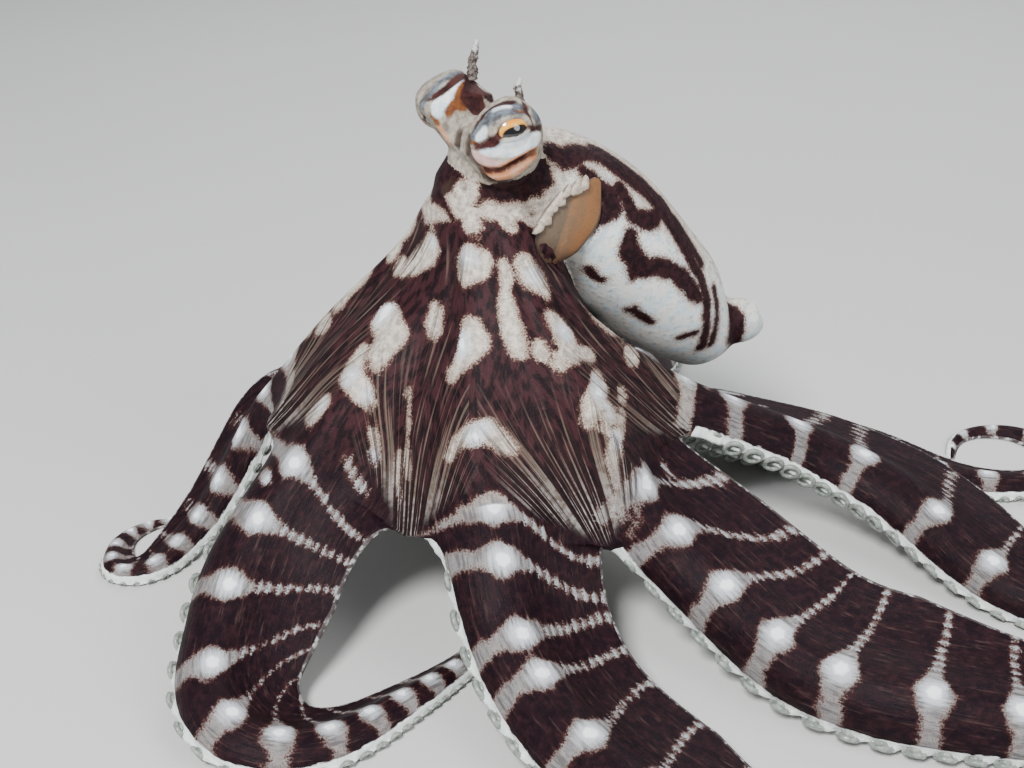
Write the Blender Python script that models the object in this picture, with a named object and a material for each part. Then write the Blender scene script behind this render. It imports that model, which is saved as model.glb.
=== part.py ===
"""Mimic octopus, life size, standing with its web spread and its mantle hanging behind the head."""
import math

import bmesh
import bpy
import numpy as np

# ---------------------------------------------------------------- driving sizes, in millimetres
MM = 0.001
BODY_AXIS = (-41.0, -3.6)       # where the axis of the body stands in the frame of the whole animal
GAP = 0.15                      # half of the clearance kept between neighbouring solids

NECK_CENTRE = (-4.0, 0.0, 66.0)
NECK_RADIUS = 9.5
NECK_TILT = 0.25                # the neck drops towards the mantle by this slope
MANTLE_BEARING = 27.0           # degrees round from +X
MOUTH_RADIUS = 2.5
MOUTH_HEIGHT = 50.0             # ceiling of the hollow under the web

ARM_HEIGHT = 8.0                # keel to sucker tips
ARM_HALF_WIDTH = 7.3            # keel line to sucker margin
KEEL_WIDTH = 6.0                # how broad the rounded keel is
FIN_WIDTH = 16.5                # keel line to the free edge of the side membrane
FIN_DROP = 4.5
SHEET = 1.2                     # thickness of web and membrane
TAPER_START = 0.45              # share of the arm's length where it begins to thin
TIP_SHARE = 0.12                # size of the tip beside the full arm
REST_START, REST_END = 0.45, 0.7    # share of the length over which the arm comes down to the floor
ARCH_RUN = 12.0                 # length over which the web's arch runs out along an arm
BASE_CUT = 40.0                 # keel length where the crown sector ends and the free arm begins

# arm: bearing at the neck, side that carries the membrane (+1 anticlockwise), size,
# keel stations (x, y, z, lean of the section in degrees)
ARMS = {
    1: (178, -1, 0.68, [(-17.5, 3.5, 60, 0), (-30, 6.5, 46, 0), (-43.5, 6.5, 30, 5), (-54.5, 1.5, 17, 5),
                        (-61, -6.5, 10, 0), (-65.5, -12.5, 8, 0), (-70, -12.5, 7, 0), (-72.5, -7, 6, 0),
                        (-72, -1, 5, 0), (-68, 4, 4, 0), (-61, 6.5, 2, 0)]),
    2: (222, 1, 1.0, [(-13, -7.5, 58, 0), (-26.5, -14.5, 41, 0), (-35.5, -20.5, 29, -6),
                      (-42.5, -29, 20, -6), (-45.5, -41, 13.5, 0), (-44.5, -53, 10, 0),
                      (-37, -60, 8, 0), (-27, -58, 7, 0), (-17.5, -49.5, 5, 0), (-9, -40, 4, 0),
                      (-2, -29, 3, 0), (3, -18, 2, 0)]),
    3: (262, 1, 1.0, [(-5, -14.5, 55, 0), (-6, -23.5, 45, 0), (-5.5, -30, 37, 0), (-2.5, -35.5, 28, 0),
                      (-1, -40.5, 20, 0), (3, -51, 13, 0), (11, -65, 10, 5), (24, -80, 9, 8),
                      (45, -92, 8, 8), (70, -96, 6, 5), (95, -90, 4, 0), (110, -77, 3, 0),
                      (109, -64, 1.5, 0)]),
    4: (292, 1, 1.0, [(3.5, -16.5, 56, 0), (12, -24, 43.5, 0), (20, -27, 31, 10), (27, -30.5, 21.5, 20),
                      (34.5, -38, 15.5, 26), (44, -49, 12, 32), (60, -57, 11, 32), (78, -60, 10, 30),
                      (98, -60, 8, 26), (120, -57, 6, 18), (141, -47, 4, 8), (154, -31, 3, 0),
                      (155, -14, 1.5, 0)]),
    5: (325, 1, 1.0, [(8, -11, 57, 0), (18, -7.5, 45, 0), (33, 1, 32, 0), (46, 4.5, 25, 0), (57, 5, 20, 0),
                      (67, 0, 16.5, 0), (74.5, -8, 13.5, 6), (84, -22, 11, 20), (99, -29, 9, 26),
                      (116, -30, 7, 18), (133, -21, 5, 5), (139, -7, 4, 0), (133, 4, 1.5, 0)]),
    6: (5, 1, 0.9, [(9, 2.2, 53, 0), (16, 9, 39, 0), (26, 18, 24.5, 0), (38, 26, 14, 0), (53, 30, 8.5, 0),
                    (69, 27, 7.5, 0), (84, 19, 7, 0), (97, 16.5, 6, 0), (108, 20.5, 5.5, 0),
                    (111.5, 31, 5, 0), (104.5, 39.5, 4, 0), (94.5, 38, 3, 0), (90, 29.5, 1.5, 0)]),
    7: (60, 1, 0.95, [(2, 11, 53, 0), (8, 21.5, 39, 0), (17, 35.5, 25, 0), (26, 51, 15, 0), (32, 68, 10, 0),
                      (33, 84, 8, 0), (27, 98, 6, 0), (14, 104, 5, 0), (3, 98, 4, 0), (2, 87, 3, 0),
                      (10, 81, 1.5, 0)]),
    8: (120, -1, 0.95, [(-10, 12, 56, 0), (-16.5, 24, 42, 0), (-20, 37, 27, 0), (-19, 51, 16, 0),
                        (-15, 65, 10, 0), (-14, 80, 8, 0), (-22, 92, 6, 0), (-34, 90, 5, 0), (-38, 79, 4, 0),
                        (-31, 71, 3, 0), (-23, 76, 1.5, 0)]),
}
# pair of arms: keel length at which they part, top of the arch between them (x, y, z)
ARCHES = {
    (1, 2): (50, (-43, -7, 28)), (2, 3): (50, (-17, -31, 20.5)), (3, 4): (54, (15, -33.5, 20)),
    (4, 5): (47, (30, -9, 27)), (5, 6): (55, (34.5, 16.5, 19)), (6, 7): (55, (22.5, 32.5, 16)),
    (7, 8): (52, (-1, 41, 20)), (8, 1): (48, (-34.5, 24, 25.5)),
}

# bodies of revolution along a curve: (x, y, z, half width, size above, size below)
HEAD = [(-4.5, 0.5, 63.0, 8.4, 8.4, 8.4), (-4.6, 0.4, 68.0, 8.8, 8.6, 8.8), (-4.6, 0, 73.0, 8.0, 7.4, 8.0),
        (-4.4, -0.4, 77.0, 6.4, 6.0, 6.4), (-4.2, -0.6, 80.0, 3.8, 3.6, 3.8),
        (-4.0, -0.6, 81.2, 1.0, 1.0, 1.0)]
MANTLE = [(-5.2, -0.3, 71.6, 2.4, 2.4, 2.4), (-2.8, 1.3, 70.9, 6.2, 5.6, 5.4),
          (1.5, 4.1, 68.8, 9.6, 8.5, 8.0), (8.1, 8.4, 63.0, 12.6, 10.9, 10.2),
          (15.8, 12.9, 54.9, 14.1, 12.2, 11.6), (23.8, 17.0, 46.7, 14.2, 11.6, 12.0),
          (30.4, 20.5, 39.6, 12.8, 10.2, 11.3), (35.4, 22.8, 34.7, 10.2, 8.4, 9.6),
          (38.9, 24.3, 31.3, 6.2, 5.4, 6.2), (40.6, 25.1, 29.9, 1.4, 1.4, 1.4)]
MANTLE_TIP = [(36.0, 19.6, 37.0, 3.2, 3.4, 3.4), (40.2, 19.6, 36.6, 4.8, 5.2, 5.0),
              (43.8, 20.2, 35.4, 4.0, 4.6, 4.4), (46.4, 21.0, 34.8, 2.0, 2.4, 2.2),
              (47.6, 21.4, 35.0, 0.6, 0.6, 0.6)]
EYE_MOUND_LEFT = [(-3.0, -2.6, 71.6, 3.8, 3.8, 3.8), (-2.4, -4.0, 74.2, 5.7, 5.3, 5.5),
                  (-1.4, -5.4, 77.4, 6.6, 6.1, 6.1), (-0.6, -6.1, 80.8, 6.1, 5.3, 5.5),
                  (-0.2, -6.3, 83.7, 4.2, 3.6, 3.8), (0.0, -6.3, 85.6, 1.2, 1.2, 1.2)]
EYE_MOUND_RIGHT = [(-6.6, 1.6, 72.6, 3.2, 3.2, 3.2), (-7.6, 3.0, 75.6, 5.0, 4.8, 4.8),
                   (-8.8, 4.4, 79.2, 7.0, 6.0, 6.0), (-9.4, 5.0, 82.6, 6.6, 5.2, 5.6),
                   (-9.2, 5.2, 85.2, 4.2, 3.4, 3.6), (-9.0, 5.2, 86.8, 1.0, 1.0, 1.0)]
HORN_LEFT = [(1.0, -5.4, 83.4, 1.3, 1.2, 1.2), (1.1, -5.2, 85.4, 0.95, 0.9, 0.9),
             (0.9, -5.2, 86.8, 0.8, 0.8, 0.8), (1.3, -5.0, 88.2, 0.4, 0.4, 0.4)]
HORN_RIGHT = [(-6.6, 5.4, 85.2, 1.6, 1.4, 1.4), (-6.4, 5.6, 87.6, 1.1, 1.0, 1.0),
              (-6.0, 5.6, 89.8, 0.85, 0.8, 0.8), (-5.6, 5.8, 91.6, 0.4, 0.4, 0.4)]
EYE_RADIUS = 3.9
EYE_LEFT = (-0.9, -8.2, 80.8)
EYE_RIGHT = (-11.8, 8.2, 80.4)
OPENING = [(14.4, -1.8, 70.6, 0.6, 0.7, 0.7), (12.5, -3.2, 67.4, 1.9, 3.5, 3.5),
           (9.9, -4.6, 64.0, 2.4, 4.2, 4.2), (7.3, -6.0, 60.8, 2.2, 3.7, 3.7),
           (5.2, -7.2, 57.8, 0.8, 1.2, 1.2)]
SIPHON = [(0.0, 7.0, 67.5, 3.2, 3.0, 3.0), (-1.5, 11.5, 67.0, 2.9, 2.7, 2.7),
          (-3.5, 15.5, 65.5, 2.4, 2.3, 2.3), (-6.0, 18.5, 63.5, 2.2, 2.1, 2.1)]
BEAK = [(-4.0, 0, 46.0, 0.8, 0.8, 0.8), (-4.0, 0, 48.5, 2.1, 2.1, 2.1), (-4.0, 0, 62.5, 2.1, 2.1, 2.1)]

SKIN_DARK = (0.060, 0.022, 0.020, 1)
SKIN_PALE = (0.62, 0.58, 0.54, 1)
MATERIALS = {
    "web": (SKIN_PALE, 0.5), "arm_base": (SKIN_DARK, 0.5), "arm_middle": (SKIN_PALE, 0.5),
    "arm_tip": (SKIN_DARK, 0.5), "head": (SKIN_PALE, 0.5), "mantle": (SKIN_PALE, 0.5),
    "eye": ((0.75, 0.38, 0.06, 1), 0.1), "opening": ((0.62, 0.36, 0.16, 1), 0.45),
    "horn": (SKIN_DARK, 0.55), "beak": ((0.03, 0.02, 0.015, 1), 0.3),
}


# ---------------------------------------------------------------- curves and sections
def unit(v):
    v = np.asarray(v, float)
    return v / np.maximum(np.linalg.norm(v, axis=-1, keepdims=True), 1e-9)


def smooth(a, b, x):
    t = np.clip((np.asarray(x, float) - a) / (b - a), 0, 1)
    return t * t * (3 - 2 * t)


def spline(points, count=400):
    """Natural cubic spline through the points: lengths along it and rows of values."""
    p = np.asarray(points, float)
    k = np.concatenate([[0], np.cumsum(np.linalg.norm(np.diff(p[:, :3], axis=0), axis=1))])
    n, h = len(p), np.diff(k)
    a, b = np.zeros((n, n)), np.zeros((n, p.shape[1]))
    a[0, 0] = a[-1, -1] = 1
    for i in range(1, n - 1):
        a[i, i - 1], a[i, i], a[i, i + 1] = h[i - 1], 2 * (h[i - 1] + h[i]), h[i]
        b[i] = 6 * ((p[i + 1] - p[i]) / h[i] - (p[i] - p[i - 1]) / h[i - 1])
    m = np.linalg.solve(a, b)
    u = np.linspace(0, k[-1], count)
    j = np.clip(np.searchsorted(k, u, side="right") - 1, 0, n - 2)
    w, v, d = (k[j + 1] - u)[:, None], (u - k[j])[:, None], h[j][:, None]
    q = (m[j] * w ** 3 + m[j + 1] * v ** 3) / (6 * d)
    q = q + (p[j] / d - m[j] * d / 6) * w + (p[j + 1] / d - m[j + 1] * d / 6) * v
    s = np.concatenate([[0], np.cumsum(np.linalg.norm(np.diff(q[:, :3], axis=0), axis=1))])
    return s, q


def sample(s, curve, values):
    return np.stack([np.interp(s, curve, values[:, i]) for i in range(values.shape[1])], axis=-1)


def frame(tangent):
    side = unit(np.cross([0, 0, 1.0], tangent))
    return side, np.cross(tangent, side)


def neck_height(x, y):
    """Height of the tilted plane where the crown meets the head."""
    m = math.radians(MANTLE_BEARING)
    run = (x - NECK_CENTRE[0]) * math.cos(m) + (y - NECK_CENTRE[1]) * math.sin(m)
    return NECK_CENTRE[2] - NECK_TILT * run


def neck_point(bearing, radius):
    b = math.radians(bearing)
    x, y = NECK_CENTRE[0] + radius * math.cos(b), NECK_CENTRE[1] + radius * math.sin(b)
    return np.array([x, y, neck_height(x, y)])


class Arm:
    """One arm: its keel line and the size of its section along the length."""

    def __init__(self, number):
        self.number = number
        self.bearing, self.fin_side, self.size, stations = ARMS[number]
        start = (*neck_point(self.bearing, NECK_RADIUS), 0.0)
        self.curve, self.values = spline([start] + stations)
        self.length = self.curve[-1]
        rest = smooth(REST_START, REST_END, self.curve / self.length)
        self.values[:, 2] += (self.core(self.curve) * ARM_HEIGHT - self.values[:, 2]) * rest
        self.values[:, 3] *= self.fin_side

    def core(self, s):
        q = np.clip((np.asarray(s, float) / self.length - TAPER_START) / (1 - TAPER_START), 0, 1)
        return self.size * (1 + (TIP_SHARE - 1) * q)

    def fin(self, s):
        q = np.clip((np.asarray(s, float) / self.length - TAPER_START) / (1 - TAPER_START), 0, 1)
        return self.size * (1 - q) ** 2

    def at(self, s):
        q = sample(s, self.curve, self.values)
        ahead = sample(np.clip(s + 1.5, 0, self.length), self.curve, self.values[:, :3])
        behind = sample(np.clip(s - 1.5, 0, self.length), self.curve, self.values[:, :3])
        side, up = frame(unit(ahead - behind))
        c, n = np.cos(np.radians(q[:, 3:])), np.sin(np.radians(q[:, 3:]))
        return q[:, :3], side * c + up * n, up * c - side * n


def middle_bearing(first, second):
    a, b = ARMS[first][0], ARMS[second][0]
    return (a + b + (360 if b < a else 0)) / 2


def web_line(arms, pair, s):
    """The line in the web midway between two arms, from the neck to the top of their arch."""
    part, apex = ARCHES[pair]
    u = np.clip(s, 0, part)
    ends = np.array([0.0, part])
    mid, end = (sum(arms[i].at(v)[0] for i in pair) / 2 for v in (u, ends))
    w = (u / part)[:, None]
    start = neck_point(middle_bearing(*pair), NECK_RADIUS) - end[0]
    return mid + start * (1 - w) ** 2 + (np.array(apex) - end[1]) * w ** 1.6


def web_frame(arms, pair, s):
    ahead, behind = web_line(arms, pair, s + 1.5), web_line(arms, pair, np.maximum(s - 1.5, 0))
    part = ARCHES[pair][0]
    last = np.array([part - 3.0, part])
    fixed = np.diff(web_line(arms, pair, last), axis=0)
    tangent = np.where((s < part)[:, None], ahead - behind, fixed)
    return frame(unit(tangent))


# columns of a section as shares of the way from the keel to its edges: fin side, sucker side
OUTER_COLUMNS = {1: (0.2, 0.42, 0.7, 1.0), -1: (0.28, 0.6, 1.0)}
INNER_COLUMNS = {1: (1.0, 0.62, 0.36), -1: (1.0, 0.55)}
CROWN_ROWS = np.array([0, 5, 10, 15, 20, 26, 32.5, BASE_CUT - GAP])


def section_side(arms, arm, s, side, columns):
    """Points of the outer surface from the keel to one edge, and the matching under side."""
    pair = (arm.number, arm.number % 8 + 1) if side > 0 else ((arm.number - 2) % 8 + 1, arm.number)
    keel, across, up = arm.at(s)
    line = web_line(arms, pair, s)
    web_side, web_up = web_frame(arms, pair, s)
    core, fin = arm.core(s)[:, None], arm.fin(s)[:, None]
    is_fin = side == arm.fin_side
    width, drop = ARM_HALF_WIDTH * core, 0.75 * ARM_HEIGHT * core
    if is_fin:
        width = width + (FIN_WIDTH - ARM_HALF_WIDTH) * fin
        drop = drop + (FIN_DROP - 0.75 * ARM_HEIGHT) * fin
    free = keel + side * width * across - drop * up
    run = np.clip((s - ARCHES[pair][0]) / ARCH_RUN, 0, 1)
    blend = np.sqrt(1 - (1 - run) ** 2)[:, None]
    edge = (line - side * GAP * web_side) * (1 - blend) + free * blend
    reach = edge - keel
    fall = (reach * up).sum(-1, keepdims=True)
    reach = reach - fall * up
    spread = np.linalg.norm(reach, axis=-1, keepdims=True) / (KEEL_WIDTH * core)
    height = ARM_HEIGHT * core
    outer, inner = [], []
    for t in columns[0]:
        bump = (1 - np.exp(-(t * spread) ** 2)) / (1 - np.exp(-spread ** 2))
        point = keel + reach * t + fall * up * bump
        if not is_fin:
            turn = t * math.pi / 2
            round_off = keel + reach * math.sin(turn) + fall * up * (1 - math.cos(turn))
            point = point * (1 - blend) + round_off * blend
        outer.append(point)
    for t in columns[1]:
        bump = (1 - np.exp(-(t * spread) ** 2)) / (1 - np.exp(-spread ** 2))
        depth = SHEET + (0.7 * height - SHEET) * math.exp(-(2.2 * t) ** 2)
        if t == 1.0:
            web_under = edge - SHEET * web_up
            shape = (1.0, drop + SHEET * (0.4 + 0.6 * core)) if is_fin else (0.93, height)
        else:
            web_under = keel + reach * t + fall * up * bump - depth * up
            thin = is_fin and t > 0.5
            shape = (t, drop + 1.6 * SHEET + 0.4 * (height - drop) if thin else height)
        free_under = keel + side * shape[0] * width * across - shape[1] * up
        inner.append(web_under * (1 - blend) + free_under * blend)
    return outer, inner


def arm_rings(arms, number, s, outer_columns=OUTER_COLUMNS, inner_columns=INNER_COLUMNS):
    """Closed section rings of one arm and its share of the web, at the given keel lengths."""
    arm = arms[number]
    s = np.asarray(s, float)
    halves, shares = {}, {}
    for side in (-1, 1):
        kind = 1 if side == arm.fin_side else -1
        halves[side] = section_side(arms, arm, s, side, (outer_columns[kind], inner_columns[kind]))
        shares[side] = inner_columns[kind]
    points = halves[-1][0][::-1] + [arm.at(s)[0]] + halves[1][0]
    count = len(points)
    points += halves[1][1] + halves[-1][1][::-1]
    rings = np.stack(points, axis=1)
    before = middle_bearing((number - 2) % 8 + 1, number)
    after = middle_bearing(number, number % 8 + 1)
    after += 360 if after < before else 0
    middle = (before + after) / 2
    bearings = [middle + t * (after - middle) for t in shares[1]]
    bearings += [middle - t * (middle - before) for t in shares[-1][::-1]]
    keep = smooth(10, 26, s)[:, None]
    slot = math.degrees(GAP / MOUTH_RADIUS)
    for i, bearing in enumerate(bearings):
        inward = slot if i == 0 else -slot if i == len(bearings) - 1 else 0
        top = neck_point(bearing - inward, MOUTH_RADIUS)
        axis = np.repeat(top[None], len(s), axis=0)
        axis[:, 2] += (MOUTH_HEIGHT - top[2]) * np.clip(s / 14, 0, 1)
        rings[:, count + i] = axis * (1 - keep) + rings[:, count + i] * keep
    rings[s == 0, :, 2] = neck_height(rings[s == 0, :, 0], rings[s == 0, :, 1])
    rings[..., 2] = np.maximum(rings[..., 2], 0)
    return rings


def cap_faces(number):
    """Triangles closing an arm's section: its upper points zipped to its lower ones, edge to edge."""
    fin = ARMS[number][1]
    upper = sorted([-fin * t for t in OUTER_COLUMNS[-1]] + [0] + [fin * t for t in OUTER_COLUMNS[1]])
    lower = sorted([-fin * t for t in INNER_COLUMNS[-1]] + [fin * t for t in INNER_COLUMNS[1]])
    i, j, end, faces = 0, len(upper) + len(lower) - 1, len(upper) - 1, []
    while i < end or j > end + 1:
        if j == end + 1 or (i < end and upper[i + 1] <= lower[len(upper) + len(lower) - j]):
            faces.append((i, i + 1, j))
            i += 1
        else:
            faces.append((i, j - 1, j))
            j -= 1
    return faces


def tube_rings(stations, count, grow=0.0):
    """Rings square to a curve, one at each station, half widths given at the stations."""
    curve, values = spline(stations)
    s = np.array([curve[np.argmin(np.linalg.norm(values[:, :3] - p[:3], axis=1))] for p in stations])
    q = sample(s, curve, values)
    ahead, behind = (sample(np.clip(s + d, 0, curve[-1]), curve, values[:, :3]) for d in (0.5, -0.5))
    tangent = unit(ahead - behind)
    q[0, :3] -= tangent[0] * grow
    q[-1, :3] += tangent[-1] * grow
    lead = np.array([1.0, 0, 0]) if abs(tangent[0, 2]) > 0.9 else np.array([0, 0, 1.0])
    side = unit(np.cross(lead, tangent)) if abs(tangent[0, 2]) <= 0.9 else unit(np.cross(tangent, lead))
    up = np.cross(tangent, side)
    turn = np.arange(count) * 2 * math.pi / count
    c, n = np.cos(turn)[None, :, None], np.sin(turn)[None, :, None]
    tall = np.where(n > 0, q[:, None, 4:5], q[:, None, 5:6]) + grow
    return q[:, None, :3] + side[:, None] * c * (q[:, None, 3:4] + grow) + up[:, None] * n * tall


def ball_rings(centre, radius, count, rows):
    turn = np.arange(count) * 2 * math.pi / count
    lift = (np.arange(rows) + 0.5) / rows * math.pi - math.pi / 2
    x = np.cos(lift)[:, None] * np.cos(turn)
    y = np.cos(lift)[:, None] * np.sin(turn)
    z = np.repeat(np.sin(lift)[:, None], count, axis=1)
    return np.array(centre) + radius * np.stack([x, y, z], axis=-1)


# ---------------------------------------------------------------- meshes
def material(kind):
    found = bpy.data.materials.get(kind)
    if found:
        return found
    colour, rough = MATERIALS[kind]
    made = bpy.data.materials.new(kind)
    made.use_nodes = True
    shader = made.node_tree.nodes["Principled BSDF"]
    shader.inputs["Base Color"].default_value = colour
    shader.inputs["Roughness"].default_value = rough
    shader.inputs["Metallic"].default_value = 0.0
    return made


def add_loft(name, rings, kind, cap=None):
    """One closed body through the rings, its ends closed by a face or by the cap's triangles."""
    rows, count = rings.shape[:2]
    cap = cap or [tuple(range(count))]
    bm = bmesh.new()
    shift = np.array([BODY_AXIS[0], BODY_AXIS[1], 0])
    verts = [[bm.verts.new((p + shift) * MM) for p in ring] for ring in rings]
    for r in range(rows - 1):
        for i in range(count):
            j = (i + 1) % count
            bm.faces.new((verts[r][i], verts[r][j], verts[r + 1][j], verts[r + 1][i]))
    for face in cap:
        bm.faces.new([verts[0][i] for i in reversed(face)])
        bm.faces.new([verts[-1][i] for i in face])
    bmesh.ops.remove_doubles(bm, verts=bm.verts, dist=1e-6)
    bmesh.ops.dissolve_degenerate(bm, dist=1e-6, edges=bm.edges)
    bmesh.ops.triangulate(bm, faces=bm.faces)
    bmesh.ops.recalc_face_normals(bm, faces=bm.faces)
    mesh = bpy.data.meshes.new(name)
    bm.to_mesh(mesh)
    bm.free()
    mesh.materials.append(material(kind))
    body = bpy.data.objects.new(name, mesh)
    bpy.context.collection.objects.link(body)
    return body


def cut_away(body, name, rings):
    """Take the space of a closed loft out of the body; the cutter stays in the file as a guide."""
    cutter = bpy.data.objects.get(name) or add_loft(name, rings, "head")
    cutter.hide_render, cutter.display_type = True, "WIRE"
    step = body.modifiers.new(name, "BOOLEAN")
    step.operation, step.solver, step.object = "DIFFERENCE", "EXACT", cutter


def build_arms(arms):
    for number, arm in arms.items():
        add_loft(f"web_{number}", arm_rings(arms, number, CROWN_ROWS), "web",
                 cap_faces(number))
        free = arm.length - BASE_CUT
        ends = [BASE_CUT, BASE_CUT + 0.30 * free, BASE_CUT + 0.65 * free, arm.length + GAP]
        for part, first, last in zip(("base", "middle", "tip"), ends, ends[1:]):
            rows = max(5, round((last - first) / 6))
            stations = np.linspace(first + GAP, last - GAP, rows)
            add_loft(f"arm_{number}_{part}", arm_rings(arms, number, stations), f"arm_{part}",
                     cap_faces(number))


def crown_rings(arms, grow):
    """The outside of the whole crown as rings round the body axis, pushed out by grow."""
    loops = [arm_rings(arms, number, CROWN_ROWS)[:, :8] for number in arms]
    rings = np.concatenate(loops, axis=1)
    away = rings - np.array([NECK_CENTRE[0], NECK_CENTRE[1], 0])
    away[..., 2] = 0
    rings = rings + unit(away) * grow
    rings[0, :, 2] += grow
    return rings


def build_body(arms):
    grow = 2 * GAP
    mantle = add_loft("mantle", tube_rings(MANTLE, 20), "mantle")
    head = add_loft("head", tube_rings(HEAD, 18), "head")
    mounds = {"left": EYE_MOUND_LEFT, "right": EYE_MOUND_RIGHT}
    eyes = {"left": EYE_LEFT, "right": EYE_RIGHT}
    horns = {"left": HORN_LEFT, "right": HORN_RIGHT}
    for side in mounds:
        mound = add_loft(f"eye_mound_{side}", tube_rings(mounds[side], 16), "head")
        add_loft(f"eye_{side}", ball_rings(eyes[side], EYE_RADIUS, 16, 9), "eye")
        horn = add_loft(f"horn_{side}", tube_rings(horns[side], 8), "horn")
        space = tube_rings(mounds[side], 16, grow)
        cut_away(mound, f"space_of_eye_{side}", ball_rings(eyes[side], EYE_RADIUS + grow, 16, 9))
        for body in (horn, head, mantle):
            cut_away(body, f"space_of_mound_{side}", space)
    cut_away(bpy.data.objects["eye_mound_right"], "space_of_mound_left", None)
    cut_away(head, "space_of_mantle", tube_rings(MANTLE, 20, grow))
    opening = add_loft("mantle_opening", tube_rings(OPENING, 12), "opening")
    cut_away(mantle, "space_of_opening", tube_rings(OPENING, 12, grow))
    tip = add_loft("mantle_tip", tube_rings(MANTLE_TIP, 10), "mantle")
    cut_away(tip, "space_of_mantle", None)
    siphon = add_loft("siphon", tube_rings(SIPHON, 10), "opening")
    cut_away(siphon, "space_of_mantle", None)
    for body in (mantle, head, siphon, opening):
        cut_away(body, "space_of_crown", crown_rings(arms, grow))
    add_loft("mouth_beak", tube_rings(BEAK, 8), "beak")


def main():
    for item in list(bpy.data.objects):
        bpy.data.objects.remove(item)
    arms = {number: Arm(number) for number in ARMS}
    build_arms(arms)
    build_body(arms)


main()
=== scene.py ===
import math

import bmesh
import bpy
import numpy as np
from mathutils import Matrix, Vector, kdtree, noise


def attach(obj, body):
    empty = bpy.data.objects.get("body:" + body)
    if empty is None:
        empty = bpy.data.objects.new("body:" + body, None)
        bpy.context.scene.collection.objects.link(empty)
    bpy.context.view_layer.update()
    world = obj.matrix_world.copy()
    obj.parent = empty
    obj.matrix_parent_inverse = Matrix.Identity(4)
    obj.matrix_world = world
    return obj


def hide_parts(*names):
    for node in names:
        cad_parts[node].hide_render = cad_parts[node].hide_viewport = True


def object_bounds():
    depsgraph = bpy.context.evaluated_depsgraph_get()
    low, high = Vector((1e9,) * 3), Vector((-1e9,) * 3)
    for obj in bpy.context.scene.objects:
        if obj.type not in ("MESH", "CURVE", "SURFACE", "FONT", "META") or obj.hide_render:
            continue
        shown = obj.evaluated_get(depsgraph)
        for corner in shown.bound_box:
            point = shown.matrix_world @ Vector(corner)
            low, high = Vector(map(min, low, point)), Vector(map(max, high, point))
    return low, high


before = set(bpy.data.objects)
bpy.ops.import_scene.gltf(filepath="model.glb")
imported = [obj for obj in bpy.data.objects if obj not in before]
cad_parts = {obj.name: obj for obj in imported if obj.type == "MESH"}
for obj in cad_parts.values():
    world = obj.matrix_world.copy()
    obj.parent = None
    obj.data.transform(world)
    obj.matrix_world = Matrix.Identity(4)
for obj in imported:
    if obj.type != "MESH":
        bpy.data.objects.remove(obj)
cad_low, cad_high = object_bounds()

# ---------------------------------------------------------------- sizes, in millimetres
MM = 0.001
BODY_AXIS = (-41.0, -3.6)
NECK_CENTRE = (-4.0, 0.0, 66.0)
NECK_RADIUS = 9.5
NECK_TILT = 0.25
MANTLE_BEARING = 27.0
MOUTH_RADIUS = 2.5
MOUTH_HEIGHT = 50.0
ARM_HEIGHT = 8.0
ORAL_DEPTH = 6.2                # keel to the face that carries the suckers
ARM_HALF_WIDTH = 7.3
KEEL_WIDTH = 6.0
FIN_WIDTH = 16.5
FIN_DROP = 4.5
WAIST = (38.8, 23.9, 43.0)      # back of the mantle, where it narrows before its tip
WAIST_DEPTH = 3.0
BEND_REACH = 12.0               # length of arm over which a membrane's rim is evened inside a bend
SHEET = 1.1
TAPER_START = 0.45
TIP_SHARE = 0.12
REST_START, REST_END = 0.45, 0.7
ARCH_RUN = 12.0
COMMON_RUN = 60.0               # keel length up to which all arms share their rows
SKIN_VOXEL = 0.53               # grain of the melted head, set by the number of triangles allowed
EYE_RADIUS = 3.9
EYE_ROLL = 12.0                 # the slit climbs towards the back of the head
FRILL_TEETH = 8
HORN_SLIM = 0.72                # share of the solids' width left to the crinkled skin of the horns
SUCKER_PITCH = 4.7              # from one sucker to the next in its row, on the thick of the arm
FIRST_SUCKER = 20.0             # keel length at which the suckers begin
BODY_DEPTH = 0.68 * ARM_HEIGHT  # keel to the under side where the web still hides the arm
RIM_DROP = 0.75 * ARM_HEIGHT    # keel down to the edge that has no membrane
LOOK = 1.5                      # how far ahead and behind a line's direction is taken
LOWEST = 0.02                   # least height of the skin over the floor
MIDLINE = (-5.2, 1.2, 0.0)      # a point of the upright plane that parts left from right
FRONT_ARMS = (2, 3, 4, 5)       # arms whose rows lie closer together
BANDS_FROM = 38.0               # keel length at which the bands begin, and on arms 2 to 4
FRONT_BANDS_FROM = 46.0
MANTLE_REACH = 14.8             # how far the mantle's markings reach from its middle line
EYE_GAP = 6.2                   # how far they keep from the middle of an eye
MOUND_FOOT = 72.0               # height at which the markings of the eye mounds begin
FAR = 30.0                      # a distance too great for any edge line to show
NO_MARK = -9.0                  # a depth too far outside a mark for it to show
CAMERA_AT = (-0.041, -0.2243, 0.1448)
CAMERA_TILT = 63.0
CAMERA_LENS = 49.4

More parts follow.
